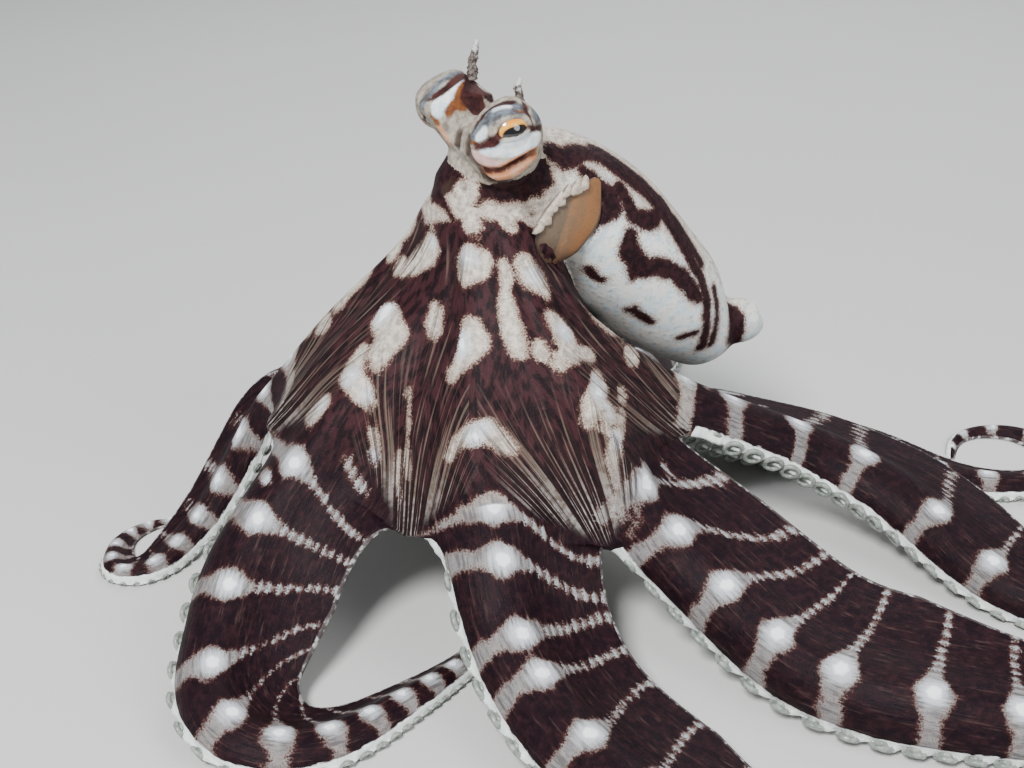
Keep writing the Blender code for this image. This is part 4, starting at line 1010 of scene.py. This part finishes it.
def paint_facts(co, facts):
    """Everything the skin's colours need, one number for each point."""
    head = facts["from_head"] > 0.5
    for key in ("rim", "hem", "web"):
        facts[key] = np.where(head, FAR, facts[key])
    pale, spot = band_field(facts)
    start = np.where(np.isin(facts["arm"], (2, 3, 4)), FRONT_BANDS_FROM, BANDS_FROM)
    begin = (facts["run"] - start) * 0.9 + 1.2 - 0.32 * np.abs(facts["across"])
    pale = np.where(head, NO_MARK, np.minimum(pale, begin))
    spot = np.where(~head & (facts["run"] > start), spot, 9.0)
    for chain in PATCHES:
        links = [(outer_point(a, s, w), r) for a, s, w, r in chain]
        pale = np.maximum(pale, np.where(head, NO_MARK, chain_distance(co, links)))
    pale = np.maximum(pale, marked(co, "pale", False) + 0.15)
    neck_zone = (co[:, 2] > 62) & (np.hypot(co[:, 0] + 4, co[:, 1]) < 13)
    pale = np.maximum(pale, np.where(neck_zone, marked(co, "pale") + 0.15, NO_MARK))
    along = sample(np.linspace(0, 60, 60), *spline(MANTLE))[:, :3]
    to_axis = np.min([np.linalg.norm(co - a, axis=1) for a in along], axis=0)
    off_eyes = np.minimum(*(np.linalg.norm(co - np.array(e), axis=1) for e in (EYE_LEFT, EYE_RIGHT)))
    mantle = head & (to_axis < MANTLE_REACH) & (co[:, 0] + 0.5 * co[:, 1] > 4.4) & (off_eyes > EYE_GAP)
    mounds = head & ~mantle & (co[:, 2] > MOUND_FOOT + 0.25 * np.abs(co[:, 0] + 4))
    net = -marked(co, "net") - 0.6
    pale = np.where(mantle, np.clip(net, -4, 4), pale)
    pale = np.where(mounds, np.clip(-marked(co, "neck"), -4, 4), pale)
    pale = np.where(head & ~mantle, np.minimum(pale, -marked(co, "neck")), pale)
    pale = np.minimum(pale, np.where(head, 9.0, -marked(co, "edge", False)))
    facts["pale"] = np.clip(pale, -6, 6)
    facts["spot"] = np.minimum(np.where(head, 9.0, spot), 1.6 - marked(co, "glow", False))
    fin_sides = np.array([0] + [ARMS[number][1] for number in sorted(ARMS)])
    side = np.sign(facts["across"]) * fin_sides[facts["arm"].astype(int)]
    narrow, to_arch = np.zeros(len(co)), np.zeros(len(co))
    for number in ARMS:
        for way in (-1, 1):
            pair = pair_of(number, way)
            own = (facts["arm"] == number) & (side == way)
            narrow[own] = PLEATED_NECK.get(pair, 0.5)
            to_arch[own] = ARCHES[pair][0] - facts["run"][own]
    run, web = facts["run"], facts["web"]
    wide = smooth(30, 14, to_arch) * smooth(-0.5, 2.5, to_arch - 0.5 * web) * smooth(14, 8, web)
    thin = narrow * smooth(4, 9, run) * smooth(1.6 + 2.6 * narrow, 0.8 + 1.4 * narrow, web) * (to_arch > -0.5)
    facts["pleat"] = np.where(head, 0, np.maximum(wide, thin))
    above = co[:, 2] - along[nearest(along, co)[0], 2]
    facts["mantle"] = mantle * smooth(7.5, 2.5, above) * smooth(6, 13, co[:, 0])
    facts["mound"] = mounds.astype(float)
    for name in ("steel", "pearl_and_highlight", "pink", "lip", "amber", "ink", "crease", "fold"):
        facts[name] = np.clip(np.where(head, marked(co, name), NO_MARK), -6, 6)
    return facts


# ---------------------------------------------------------------- materials
class Value:
    """A number, vector or colour on its way through a material."""

    def __init__(self, finish, socket):
        self.finish, self.socket = finish, socket

    def _math(self, operation, *values):
        sockets = dict(enumerate(values))
        return self.finish.node("ShaderNodeMath", {"operation": operation}, sockets)

    def __add__(self, other):
        return self._math("ADD", self, other)

    def __sub__(self, other):
        return self._math("SUBTRACT", self, other)

    def __rsub__(self, other):
        return self._math("SUBTRACT", other, self)

    def __mul__(self, other):
        return self._math("MULTIPLY", self, other)

    def __truediv__(self, other):
        return self._math("DIVIDE", self, other)

    def __abs__(self):
        return self._math("ABSOLUTE", self)

    def over(self, other):
        return self._math("MAXIMUM", self, other)

    def sine(self):
        return self._math("SINE", self)

    def power(self, other):
        return self._math("POWER", self, other)

    def rise(self, low, high):
        """0 below low, 1 above high, with a soft step between."""
        return self.finish.node("ShaderNodeMapRange", {"interpolation_type": "SMOOTHSTEP"},
                                {0: self, 1: low, 2: high, 3: 0.0, 4: 1.0})

    __radd__, __rmul__ = __add__, __mul__


class Finish:
    """A material, with its nodes added as they are asked for."""

    def __init__(self, name, **constants):
        self.material = bpy.data.materials.new(name)
        self.material.use_nodes = True
        self.tree = self.material.node_tree
        self.shader = self.tree.nodes["Principled BSDF"]
        for key, value in constants.items():
            self.shader.inputs[key.replace("_", " ")].default_value = value

    def node(self, kind, settings=None, sockets=None, output=0):
        made = self.tree.nodes.new(kind)
        for key, value in (settings or {}).items():
            setattr(made, key, value)
        for key, value in (sockets or {}).items():
            self.feed(made.inputs[key], value)
        return Value(self, made.outputs[output])

    def feed(self, socket, value):
        if isinstance(value, Value):
            self.tree.links.new(value.socket, socket)
        else:
            socket.default_value = value

    def fact(self, name):
        return self.node("ShaderNodeAttribute", {"attribute_name": name}, output=2)

    def place(self):
        """Object coordinates in millimetres."""
        raw = self.node("ShaderNodeTexCoord", output=3)
        return self.node("ShaderNodeVectorMath", {"operation": "SCALE"}, {0: raw, 3: 1000.0})

    def vector(self, x, y, z):
        return self.node("ShaderNodeCombineXYZ", sockets={0: x, 1: y, 2: z})

    def noise(self, at, scale, detail=3.0, rough=0.55):
        return self.node("ShaderNodeTexNoise", {"noise_dimensions": "3D"},
                         {"Vector": at, "Scale": scale, "Detail": detail, "Roughness": rough})

    def cells(self, at, scale):
        return self.node("ShaderNodeTexVoronoi", {"feature": "F1"},
                         {"Vector": at, "Scale": scale, "Randomness": 1.0})

    def mix(self, factor, a, b):
        return self.node("ShaderNodeMix", {"data_type": "RGBA"}, {0: factor, 6: a, 7: b}, output=2)

    def bump(self, height, strength, distance):
        sockets = {"Height": height, "Strength": strength, "Distance": distance}
        return self.node("ShaderNodeBump", sockets=sockets)

    def finish(self, colour, rough=None, normal=None):
        self.feed(self.shader.inputs["Base Color"], colour)
        if rough is not None:
            self.feed(self.shader.inputs["Roughness"], rough)
        if normal is not None:
            self.feed(self.shader.inputs["Normal"], normal)
        return self.material


def rgb(r, g, b):
    return (r, g, b, 1.0)


def skin_finish():
    f = Finish("banded skin", Specular_IOR_Level=0.09)
    place = f.place()
    pale, spot, run, across = (f.fact(n) for n in ("pale", "spot", "run", "across"))
    rim, hem, web, under = (f.fact(n) for n in ("rim", "hem", "web", "kind"))
    head, mantle, mound, pleat = (f.fact(n) for n in ("from_head", "mantle", "mound", "pleat"))
    on_arm = run.rise(BANDS_FROM, 50.0) * (1 - head)
    streak = f.noise(f.vector(abs(across) * 1.9, run * 0.2, across * 0.2), 1.0, 4.0, 0.6)
    broad = f.noise(place, 0.45, 4.0, 0.62)
    cell = f.cells(place, 3.3)
    field = pale + (broad - 0.5) * (1.8 - mound * 1.5) + (cell - 0.42) * (0.9 - mound * 0.6)
    field = field + (streak - 0.5) * (on_arm * 1.5 + 0.4) * (1 - head)
    beads = ((across + (cell - 0.5) * 0.8) * 4.2).sine() * on_arm * across.rise(2.0, 5.0)
    field = field + beads * 0.22 - on_arm * spot.rise(1.5, 3.5) * 0.3
    mask = field.rise(-0.4, 0.45)
    # dark skin: maroon with longer black flecks on the web, nearly black on the arms
    mottle = f.noise(place, 0.9, 4.0, 0.6)
    flecks = f.noise(f.vector(across * 0.75, run * 0.3, 0.0), 1.0, 3.0, 0.5) * (1 - head) + mottle * head
    dark = f.mix(flecks.rise(0.42, 0.58), rgb(0.038, 0.013, 0.016), rgb(0.010, 0.0045, 0.0065))
    dark = f.mix(head * 0.45, dark, rgb(0.014, 0.006, 0.008))
    night = f.mix(mottle.rise(0.45, 0.7), rgb(0.007, 0.003, 0.0055), rgb(0.020, 0.007, 0.010))
    dark = f.mix(on_arm * 0.8, dark, night)
    dark = f.mix(streak.rise(0.54, 0.78) * (on_arm * 0.2 + 0.3) * (1 - head), dark, rgb(0.10, 0.055, 0.050))
    dark = f.mix(field.rise(-0.7, 0.0) * 0.4, dark, rgb(0.10, 0.030, 0.018))
    # pale skin: grey on the arms, cream on the neck, blue-white on the mantle
    warm = f.mix(mottle.rise(0.35, 0.68), rgb(0.68, 0.62, 0.54), rgb(0.34, 0.30, 0.265))
    cool = f.mix(broad.rise(0.4, 0.62), rgb(0.84, 0.85, 0.81), rgb(0.66, 0.78, 0.84))
    cool = f.mix(mottle.rise(0.52, 0.72) * 0.6, cool, rgb(0.36, 0.35, 0.31))
    light = f.mix(mantle * (0.4 + broad * 0.8), warm, cool)
    light = f.mix(on_arm * 0.85, light, rgb(0.17, 0.17, 0.18))
    light = f.mix(streak.rise(0.46, 0.62) * on_arm * 0.7, light, rgb(0.065, 0.058, 0.062))
    light = f.mix(beads.rise(0.0, 0.8) * 0.7, light, rgb(0.38, 0.44, 0.48))
    light = f.mix(field.rise(1.2, 0.05) * (0.6 - on_arm * 0.4), light, rgb(0.33, 0.23, 0.18))
    light = f.mix(cell.rise(0.26, 0.12) * 0.35, light, rgb(0.28, 0.21, 0.17))
    light = f.mix((spot + (streak - 0.5) * 2.4).rise(3.2, 1.2) * 0.75, light, rgb(0.62, 0.66, 0.72))
    colour = f.mix(mask, dark, light)
    colour = f.mix((spot + (mottle - 0.5) * 0.9).rise(1.4, 0.85), colour, rgb(0.96, 0.98, 1.0))
    # head: cream ground, with marks laid over each other from grey-blue to nearly black; the blue-white layer
    # is partly white skin and partly painted highlights on the grey-blue part of the near mound
    face = f.mix(mottle.rise(0.3, 0.7), rgb(0.44, 0.40, 0.33), rgb(0.20, 0.17, 0.14))
    ragged = (mottle - 0.5) * 0.7 + (cell - 0.4) * 0.25
    for name, soft, first, second in (
            ("steel", 0.5, rgb(0.17, 0.20, 0.235), rgb(0.075, 0.075, 0.08)),
            ("pearl_and_highlight", 0.4, rgb(0.86, 0.87, 0.86), rgb(0.56, 0.66, 0.74)),
            ("pink", 0.4, rgb(0.58, 0.31, 0.29), rgb(0.66, 0.44, 0.40)),
            ("lip", 0.3, rgb(0.56, 0.25, 0.12), rgb(0.62, 0.36, 0.24)),
            ("amber", 0.35, rgb(0.20, 0.07, 0.02), rgb(0.11, 0.038, 0.017)),
            ("ink", 0.35, rgb(0.026, 0.010, 0.011), rgb(0.060, 0.020, 0.018))):
        face = f.mix((f.fact(name) + ragged * (1.5 * soft)).rise(-soft, soft * 0.6), face,
                     f.mix(broad.rise(0.38, 0.62), first, second))
    # the creases under the eye: a brown line, with painted shade, nearly black, at the bottom of the crease
    crease = f.fact("crease")
    face = f.mix(crease.rise(-0.9, -0.4) * 0.7, face, rgb(0.34, 0.11, 0.04))
    face = f.mix(crease.rise(-0.48, -0.22), face, rgb(0.04, 0.012, 0.010))
    colour = f.mix(mound * mask, colour, face)
    # painted shade along the sunk skin folds of the cheeks and neck
    colour = f.mix(f.fact("fold").rise(-0.85, -0.3) * 0.9, colour, rgb(0.040, 0.024, 0.019))
    # folds that run down the web to the top of each arch, with a painted highlight on each crest and painted
    # shade in each valley
    pitch = 0.3 + (54.0 - run).over(0.0) * 0.024
    fold = f.noise(f.vector(web / pitch, run * 0.03, 0.0), 1.1, 2.0, 0.5)
    crest_highlight_mask, valley_shade_mask = fold.rise(0.52, 0.62), fold.rise(0.48, 0.41)
    outward = run.rise(BANDS_FROM, 52.0) * mottle.rise(0.35, 0.6)
    bright = f.mix(outward, rgb(0.17, 0.13, 0.10), rgb(0.50, 0.48, 0.45))
    colour = f.mix(pleat * crest_highlight_mask * 0.65, colour, bright)
    colour = f.mix(pleat * valley_shade_mask * 0.85, colour, rgb(0.016, 0.009, 0.009))
    # fine dark cells along every border
    near_edge = (1 - abs(field).rise(0.25, 1.7)) * (1 - spot.rise(1.6, 1.0)) * (1 - mound * 0.6)
    colour = f.mix(cell.rise(0.30, 0.17) * near_edge * 0.7, colour, rgb(0.085, 0.026, 0.018))
    # a broken dark line along the hem of the membrane, and a white one along the other edge
    hem_line = 1 - (hem + (streak - 0.5) * 0.3).rise(0.12, 0.3)
    beaded = f.mix(mottle.rise(0.5, 0.62), rgb(0.075, 0.06, 0.06), rgb(0.42, 0.43, 0.42))
    colour = f.mix(hem_line * 0.9, colour, beaded)
    rim_line = 1 - (rim + (streak - 0.5) * 0.9 + (mottle - 0.5) * 0.5).rise(1.05, 1.35)
    white = f.mix(mottle.rise(0.3, 0.7), rgb(0.93, 0.96, 0.96), rgb(0.72, 0.76, 0.74))
    colour = f.mix(rim_line, colour, white)
    belly = under.rise(1.2, 1.8) * (1 - head)
    colour = f.mix(belly * 0.9, colour, f.mix(mottle, rgb(0.50, 0.50, 0.45), rgb(0.20, 0.19, 0.17)))
    height = fold * pleat * 1.5 + streak * on_arm * 0.5 + mottle * (0.3 + head * 0.25) + cell * 0.12
    return f.finish(colour, 0.46 + mottle * 0.16, f.bump(height, 0.6, 0.0005))


def plain_finish(name, colour, second, scale, rough, **constants):
    f = Finish(name, Roughness=rough, **constants)
    place = f.place()
    mottle = f.noise(place, scale, 4.0, 0.6)
    return f.finish(f.mix(mottle.rise(0.3, 0.7), colour, second), None, f.bump(mottle, 0.4, 0.0003))


def eye_finish(side, centre):
    f = Finish(f"eye {side}", Roughness=0.12, Coat_Weight=1.0, Coat_Roughness=0.03)
    place = f.place()
    _, right, up = eye_frame(side)
    middle = np.array(centre) + BODY_PLACE
    q = f.node("ShaderNodeVectorMath", {"operation": "SUBTRACT"}, {0: place, 1: tuple(middle)})

    def dot(way):
        return f.node("ShaderNodeVectorMath", {"operation": "DOT_PRODUCT"}, {0: q, 1: tuple(way)}, output=1)

    u, v = dot(right), dot(up)
    pupil = (abs(u) / 2.2).power(3.0) + (abs(v + 0.9) / 1.5).power(3.0)
    black = pupil.rise(1.15, 0.8)
    rays = f.noise(f.vector(u * 3.0, v * 0.6, 0.0), 1.4, 3.0)
    gold = f.mix(rays.rise(0.35, 0.7), rgb(0.85, 0.36, 0.03), rgb(0.93, 0.54, 0.12))
    gold = f.mix(v.rise(0.6, 1.6), gold, rgb(0.80, 0.27, 0.02))
    ring = ((u / 2.5).power(2.0) + (v / 1.9).power(2.0)).rise(0.75, 1.1)
    colour = f.mix(ring, gold, rgb(0.05, 0.018, 0.012))
    colour = f.mix((pupil.rise(1.7, 1.25)) * 0.6, colour, rgb(0.50, 0.20, 0.03))
    colour = f.mix(black, colour, rgb(0.004, 0.003, 0.004))
    return f.finish(colour)


# ---------------------------------------------------------------- pieces
WAIST_RUN, WAIST_WIDTH = 4.5, 9.0    # how far the waist reaches along the mantle and across it


def draw_in_waist(mesh):
    """Narrow the back of the mantle just before its tip."""
    co = coordinates(mesh)
    axis = unit(np.subtract(MANTLE[7][:3], MANTLE[5][:3]))
    side, up = square_to(axis)
    along, across, high = ((co - np.array(WAIST)) @ way for way in (axis, side, up))
    near = np.exp(-(along / WAIST_RUN) ** 2 - (across / WAIST_WIDTH) ** 2) * smooth(-9.0, 0.0, high)
    set_coordinates(mesh, co - WAIST_DEPTH * near[:, None] * up)


def settle(obj, material, slot_name, *nodes):
    """Give a piece its place in the frame and its finish, and hide the solids it stands for.

    Points outside the box of all solids are moved on to the faces of that box.
    """
    co = (coordinates(obj.data) + BODY_PLACE) * MM
    set_coordinates(obj.data, np.clip(co, cad_low, cad_high))
    obj.data.materials.clear()
    obj.data.materials.append(material)
    obj.data.polygons.foreach_set("use_smooth", np.ones(len(obj.data.polygons), bool))
    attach(obj, "root")
    if nodes:
        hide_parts(*nodes)


def eyeball(side, centre):
    look, right, up = eye_frame(side)
    rows, count = 28, 40
    lift = np.linspace(-math.pi / 2, math.pi / 2, rows + 2)[1:-1]
    turn = np.arange(count) * 2 * math.pi / count
    points = []
    for a in lift:
        bulge = 1 + 0.045 * math.exp(-((math.pi / 2 - a) / 0.5) ** 2)
        for b in turn:
            d = look * math.sin(a) + (right * math.cos(b) + up * math.sin(b)) * math.cos(a)
            points.append(np.array(centre) + d * EYE_RADIUS * bulge)
    rings = np.array(points).reshape(rows, count, 3)
    piece = closed_piece(f"eyeball_{side}", *closed_tube(rings))
    settle(piece, eye_finish(side, centre), "eye", f"eye_{side}")


def sucker_points():
    """Where the suckers sit: two rows under every arm."""
    points, faces_down, sizes = [], [], []
    for arm in arms.values():
        total = float(arm.sucker_phase(arm.length))
        run = np.linspace(0, arm.length, 800)
        phase = arm.sucker_phase(run)
        for row in (-1, 1):
            n = 1.0
            while n < total - 1:
                s = float(np.interp(n + (0.5 if row > 0 else 0.0), phase, run))
                n += 1
                if s < FIRST_SUCKER or s > arm.length - 1.5:
                    continue
                keel, across, up = (v[0] for v in arm.at(np.array([s])))
                core = float(arm.core(s))
                loose = smooth(46, 56, s)
                depth = core * (0.60 * ARM_HEIGHT * (1 - loose) + (ORAL_DEPTH - 0.15) * loose)
                start = 0.5 + 0.5 * smooth(20, 60, s)
                out = -arm.fin_side * across
                if row == -arm.fin_side:
                    points.append(keel + out * (3.55 + 3.0 * loose) * core * start - up * depth)
                    faces_down.append(unit(-up * (1 - 0.5 * loose) + 0.9 * loose * out))
                else:
                    points.append(keel - out * 3.2 * core * start - up * depth)
                    faces_down.append(-up)
                sizes.append(core * start)
    return np.array(points), np.array(faces_down), np.array(sizes)


def sucker_tree(material):
    """Geometry nodes that grow one cupped sucker on every point."""
    tree = bpy.data.node_groups.new("suckers on arms", "GeometryNodeTree")
    face = tree.interface
    face.new_socket("Geometry", in_out="INPUT", socket_type="NodeSocketGeometry")
    for name, value in (("Ring radius", 1.55), ("Ring thickness", 0.5), ("Stalk height", 1.2)):
        made = face.new_socket(name, in_out="INPUT", socket_type="NodeSocketFloat")
        made.default_value = value
    face.new_socket("Geometry", in_out="OUTPUT", socket_type="NodeSocketGeometry")

    def step(kind, **inputs):
        """Add a node, with a value for each named input or the output that feeds it."""
        made = tree.nodes.new(kind)
        for key, value in inputs.items():
            socket = made.inputs[key.replace("_", " ")]
            if isinstance(value, bpy.types.NodeSocket):
                tree.links.new(value, socket)
            else:
                socket.default_value = value
        return made

    def stored(name, kind):
        made = step("GeometryNodeInputNamedAttribute", Name=name)
        made.data_type = kind
        return made.outputs["Attribute"]

    source = step("NodeGroupInput").outputs
    ring = step("GeometryNodeCurvePrimitiveCircle", Resolution=12, Radius=source["Ring radius"])
    lip = step("GeometryNodeCurvePrimitiveCircle", Resolution=5, Radius=source["Ring thickness"])
    rim = step("GeometryNodeCurveToMesh", Curve=ring.outputs["Curve"], Profile_Curve=lip.outputs["Curve"])
    raise_by = step("ShaderNodeCombineXYZ", Z=source["Stalk height"])
    lift = step("GeometryNodeTransform", Geometry=rim.outputs["Mesh"], Translation=raise_by.outputs["Vector"])
    stalk = step("GeometryNodeMeshCone", Vertices=12, Radius_Top=1.35, Radius_Bottom=1.0,
                 Depth=source["Stalk height"])
    both = step("GeometryNodeJoinGeometry")
    for half in (lift.outputs["Geometry"], stalk.outputs["Mesh"]):
        tree.links.new(half, both.inputs[0])
    turn = step("FunctionNodeAlignRotationToVector", Vector=stored("facing", "FLOAT_VECTOR"))
    turn.axis = "Z"
    place = step("GeometryNodeInstanceOnPoints", Points=source["Geometry"], Instance=both.outputs["Geometry"],
                 Rotation=turn.outputs["Rotation"], Scale=stored("size", "FLOAT"))
    real = step("GeometryNodeRealizeInstances", Geometry=place.outputs["Instances"])
    coat = step("GeometryNodeSetMaterial", Geometry=real.outputs["Geometry"], Material=material)
    step("NodeGroupOutput", Geometry=coat.outputs["Geometry"])
    return tree


def build_suckers():
    points, facing, sizes = sucker_points()
    piece = new_object("suckers", points, [])
    made = piece.data.attributes.new("facing", "FLOAT_VECTOR", "POINT")
    made.data.foreach_set("vector", facing.astype(np.float32).reshape(-1))
    attribute(piece.data, "size", sizes)
    material = plain_finish("sucker flesh", rgb(0.34, 0.37, 0.33), rgb(0.15, 0.17, 0.15), 1.2, 0.35,
                            Coat_Weight=0.2)
    grow = piece.modifiers.new("suckers", "NODES")
    grow.node_group = sucker_tree(material)
    apply_modifiers(piece)
    co = coordinates(piece.data)
    co[:, 2] = np.maximum(co[:, 2], 0.0)
    set_coordinates(piece.data, co)
    outwards(piece)
    settle(piece, material, "arm_skin")


def build_opening():
    """The flesh showing in the mantle's opening: two lobes with a crease between them."""
    piece = closed_piece("mantle_opening_flesh", *closed_tube(tube_rings(OPENING, 56, -0.2, 60)))
    co = coordinates(piece.data)
    along, out, across, _, wide, side = opening_place(co)
    lobe = across - 3.4 + 7.2 * (along - 0.25)
    front = smooth(-0.5, 0.8, out)
    lift = -0.45 * np.exp(-(lobe / 0.4) ** 2) - 0.3 * smooth(0, 1.0, lobe) - 0.1 - 0.5 * np.maximum(out, 0)
    set_coordinates(piece.data, co + side * (lift * front)[:, None])
    attribute(piece.data, "lobe", lobe)
    attribute(piece.data, "along", along)
    attribute(piece.data, "across", across / np.maximum(wide, 0.5))
    f = Finish("collar flesh", Coat_Weight=0.15, Coat_Roughness=0.25)
    place, lobe, along, across = f.place(), f.fact("lobe"), f.fact("along"), f.fact("across")
    mottle = f.noise(place, 0.5, 5.0, 0.65)
    fine = f.noise(place, 3.0, 3.0, 0.6)
    colour = f.mix(mottle.rise(0.35, 0.65), rgb(0.19, 0.095, 0.038), rgb(0.14, 0.08, 0.042))
    colour = f.mix((mottle - lobe * 0.12).rise(0.66, 1.0) * 0.7, colour, rgb(0.27, 0.105, 0.024))
    colour = f.mix(lobe.rise(-0.2, 0.3) * 0.85, colour, rgb(0.105, 0.075, 0.048))
    colour = f.mix((along + mottle * 0.3).rise(0.80, 1.05) * 0.75, colour, rgb(0.055, 0.026, 0.014))
    colour = f.mix((1 - abs(lobe).rise(0.03, 0.3)) * 0.6, colour, rgb(0.15, 0.085, 0.05))
    colour = f.mix(fine.rise(0.58, 0.68) * 0.5, colour, rgb(0.05, 0.03, 0.02))
    # painted shadow along the border where the flesh sinks under the rim of the opening
    colour = f.mix(abs(across).rise(0.74, 0.9) * 0.9, colour, rgb(0.035, 0.016, 0.012))
    material = f.finish(colour, 0.4 + fine * 0.2, f.bump(mottle * 0.6 + fine * 0.4, 0.5, 0.0004))
    settle(piece, material, "collar_flesh", "mantle_opening")


def build_frill():
    """The ragged pale border that hangs over the upper side of the opening."""
    _, values = spline(OPENING, 60)
    tangent = unit(np.gradient(values[:, :3], axis=0))
    outwards_of_body = unit(np.cross([0, 0, 1.0], tangent))
    upwards = np.cross(tangent, outwards_of_body)
    turn = np.arange(10) * 2 * math.pi / 10
    teeth = []
    for k in range(FRILL_TEETH):
        at = int(60 * (0.16 + 0.66 * k / FRILL_TEETH + 0.02 * math.sin(5.1 * k)))
        run, out, up = tangent[at], outwards_of_body[at], upwards[at]
        reach = 1.5 + 0.45 * math.sin(2.4 * k)
        rings = []
        for share, half, thick in ((0, 1.5, 0.45), (0.4, 1.4, 0.4), (0.75, 0.8, 0.25), (1, 0.15, 0.1)):
            centre = values[at, :3] + up * (values[at, 4] * 1.12 - reach * share) + out * (0.55 + 0.5 * share)
            rings.append([centre + run * half * math.cos(a) + out * thick * math.sin(a) for a in turn])
        teeth.append(closed_tube(np.array(rings)))
    piece = closed_piece("opening_frill", *joined(teeth))
    material = plain_finish("frill skin", rgb(0.55, 0.48, 0.39), rgb(0.33, 0.27, 0.21), 1.2, 0.5)
    settle(piece, material, "web_skin")


def build_horns():
    """The crinkled papillae over the eyes, dark with pale tips and a pale ridge."""
    for side, stations in (("left", HORN_LEFT), ("right", HORN_RIGHT)):
        rings = tube_rings(stations, 28, 0, 40)
        middle = rings.mean(axis=1, keepdims=True)
        for r in range(len(rings)):
            for i in range(rings.shape[1]):
                p = Vector(rings[r, i])
                push = 0.45 * noise.noise(p * 1.1) + 0.3 * noise.noise(p * 3.1) + 0.06 * math.sin(r * 1.3)
                rings[r, i] = middle[r, 0] + (rings[r, i] - middle[r, 0]) * HORN_SLIM * (1 + push)
        piece = closed_piece(f"horn_papilla_{side}", *closed_tube(rings))
        height = coordinates(piece.data)[:, 2]
        attribute(piece.data, "tip", (height - height.min()) / np.ptp(height))
        f = Finish(f"horn skin {side}", Roughness=0.5)
        place = f.place()
        grain = f.noise(place, 1.5, 4.0, 0.6)
        folds = f.noise(place, 4.0, 3.0, 0.6)
        colour = f.mix(grain.rise(0.4, 0.6), rgb(0.045, 0.030, 0.028), rgb(0.15, 0.12, 0.10))
        colour = f.mix((f.fact("tip") + (grain - 0.5) * 1.1).rise(0.62, 0.9), colour, rgb(0.60, 0.60, 0.58))
        colour = f.mix(folds.rise(0.58, 0.66) * 0.6, colour, rgb(0.50, 0.48, 0.44))
        settle(piece, f.finish(colour, None, f.bump(folds, 0.6, 0.0003)), "horn_skin", f"horn_{side}")


def build_beak():
    stations = [(-4, 0, height, half, half, half)
                for height, half in ((45.5, 0.5), (47.5, 1.7), (50, 2.0), (58, 2.0))]
    piece = closed_piece("beak", *closed_tube(tube_rings(stations, 24, 0, 24)))
    material = plain_finish("beak horn", rgb(0.03, 0.018, 0.012), rgb(0.07, 0.04, 0.02), 0.8, 0.3)
    settle(piece, material, "beak", "mouth_beak")


def place_camera_and_light():
    camera = bpy.data.objects.new("camera", bpy.data.cameras.new("camera"))
    bpy.context.collection.objects.link(camera)
    camera.location = CAMERA_AT
    camera.rotation_euler = (math.radians(CAMERA_TILT), 0, 0)
    camera.data.lens, camera.data.sensor_width = CAMERA_LENS, 36.0
    camera.data.clip_start, camera.data.clip_end = 0.01, 10.0
    bpy.context.scene.camera = camera
    for name, at, size, power in (("key light", (-0.22, -0.45, 0.55), 0.2, 8.0),
                                  ("fill light", (0.45, -0.35, 0.35), 0.4, 2.2),
                                  ("back light", (0.1, 0.5, 0.5), 0.5, 2.5)):
        lamp = bpy.data.lights.new(name, "AREA")
        lamp.shape, lamp.size, lamp.energy = "DISK", size, power
        made = bpy.data.objects.new(name, lamp)
        made.location = at
        made.rotation_euler = (Vector((0, -0.02, 0.03)) - Vector(at)).to_track_quat("-Z", "Y").to_euler()
        bpy.context.collection.objects.link(made)
    world = bpy.data.worlds.new("soft room")
    world.use_nodes = True
    world.node_tree.nodes["Background"].inputs["Color"].default_value = (0.9, 0.93, 1.0, 1)
    world.node_tree.nodes["Background"].inputs["Strength"].default_value = 0.36
    bpy.context.scene.world = world
    mesh = bpy.data.meshes.new("floor")
    mesh.from_pydata([(-4, -4, 0), (4, -4, 0), (4, 4, 0), (-4, 4, 0)], [], [(0, 1, 2, 3)])
    floor = bpy.data.objects.new("floor", mesh)
    bpy.context.collection.objects.link(floor)
    f = Finish("pale floor", Roughness=0.8)
    tone = f.noise(f.place(), 0.01, 2.0)
    mesh.materials.append(f.finish(f.mix(tone, rgb(0.60, 0.60, 0.59), rgb(0.64, 0.64, 0.63))))


FLESH_NODES = [f"web_{n}" for n in ARMS] + [f"arm_{n}_{p}" for n in ARMS for p in ("base", "middle", "tip")]
FLESH_NODES += ["head", "mantle", "mantle_tip", "siphon", "eye_mound_left", "eye_mound_right"]

facts = paint_facts(coordinates(skin.data), facts)
for fact_name, fact_values in facts.items():
    attribute(skin.data, fact_name, fact_values)
draw_in_waist(skin.data)
settle(skin, skin_finish(), "web_skin", *FLESH_NODES)
for eye_side, eye_centre in (("left", EYE_LEFT), ("right", EYE_RIGHT)):
    eyeball(eye_side, eye_centre)
build_suckers()
build_opening()
build_frill()
build_horns()
build_beak()
place_camera_and_light()
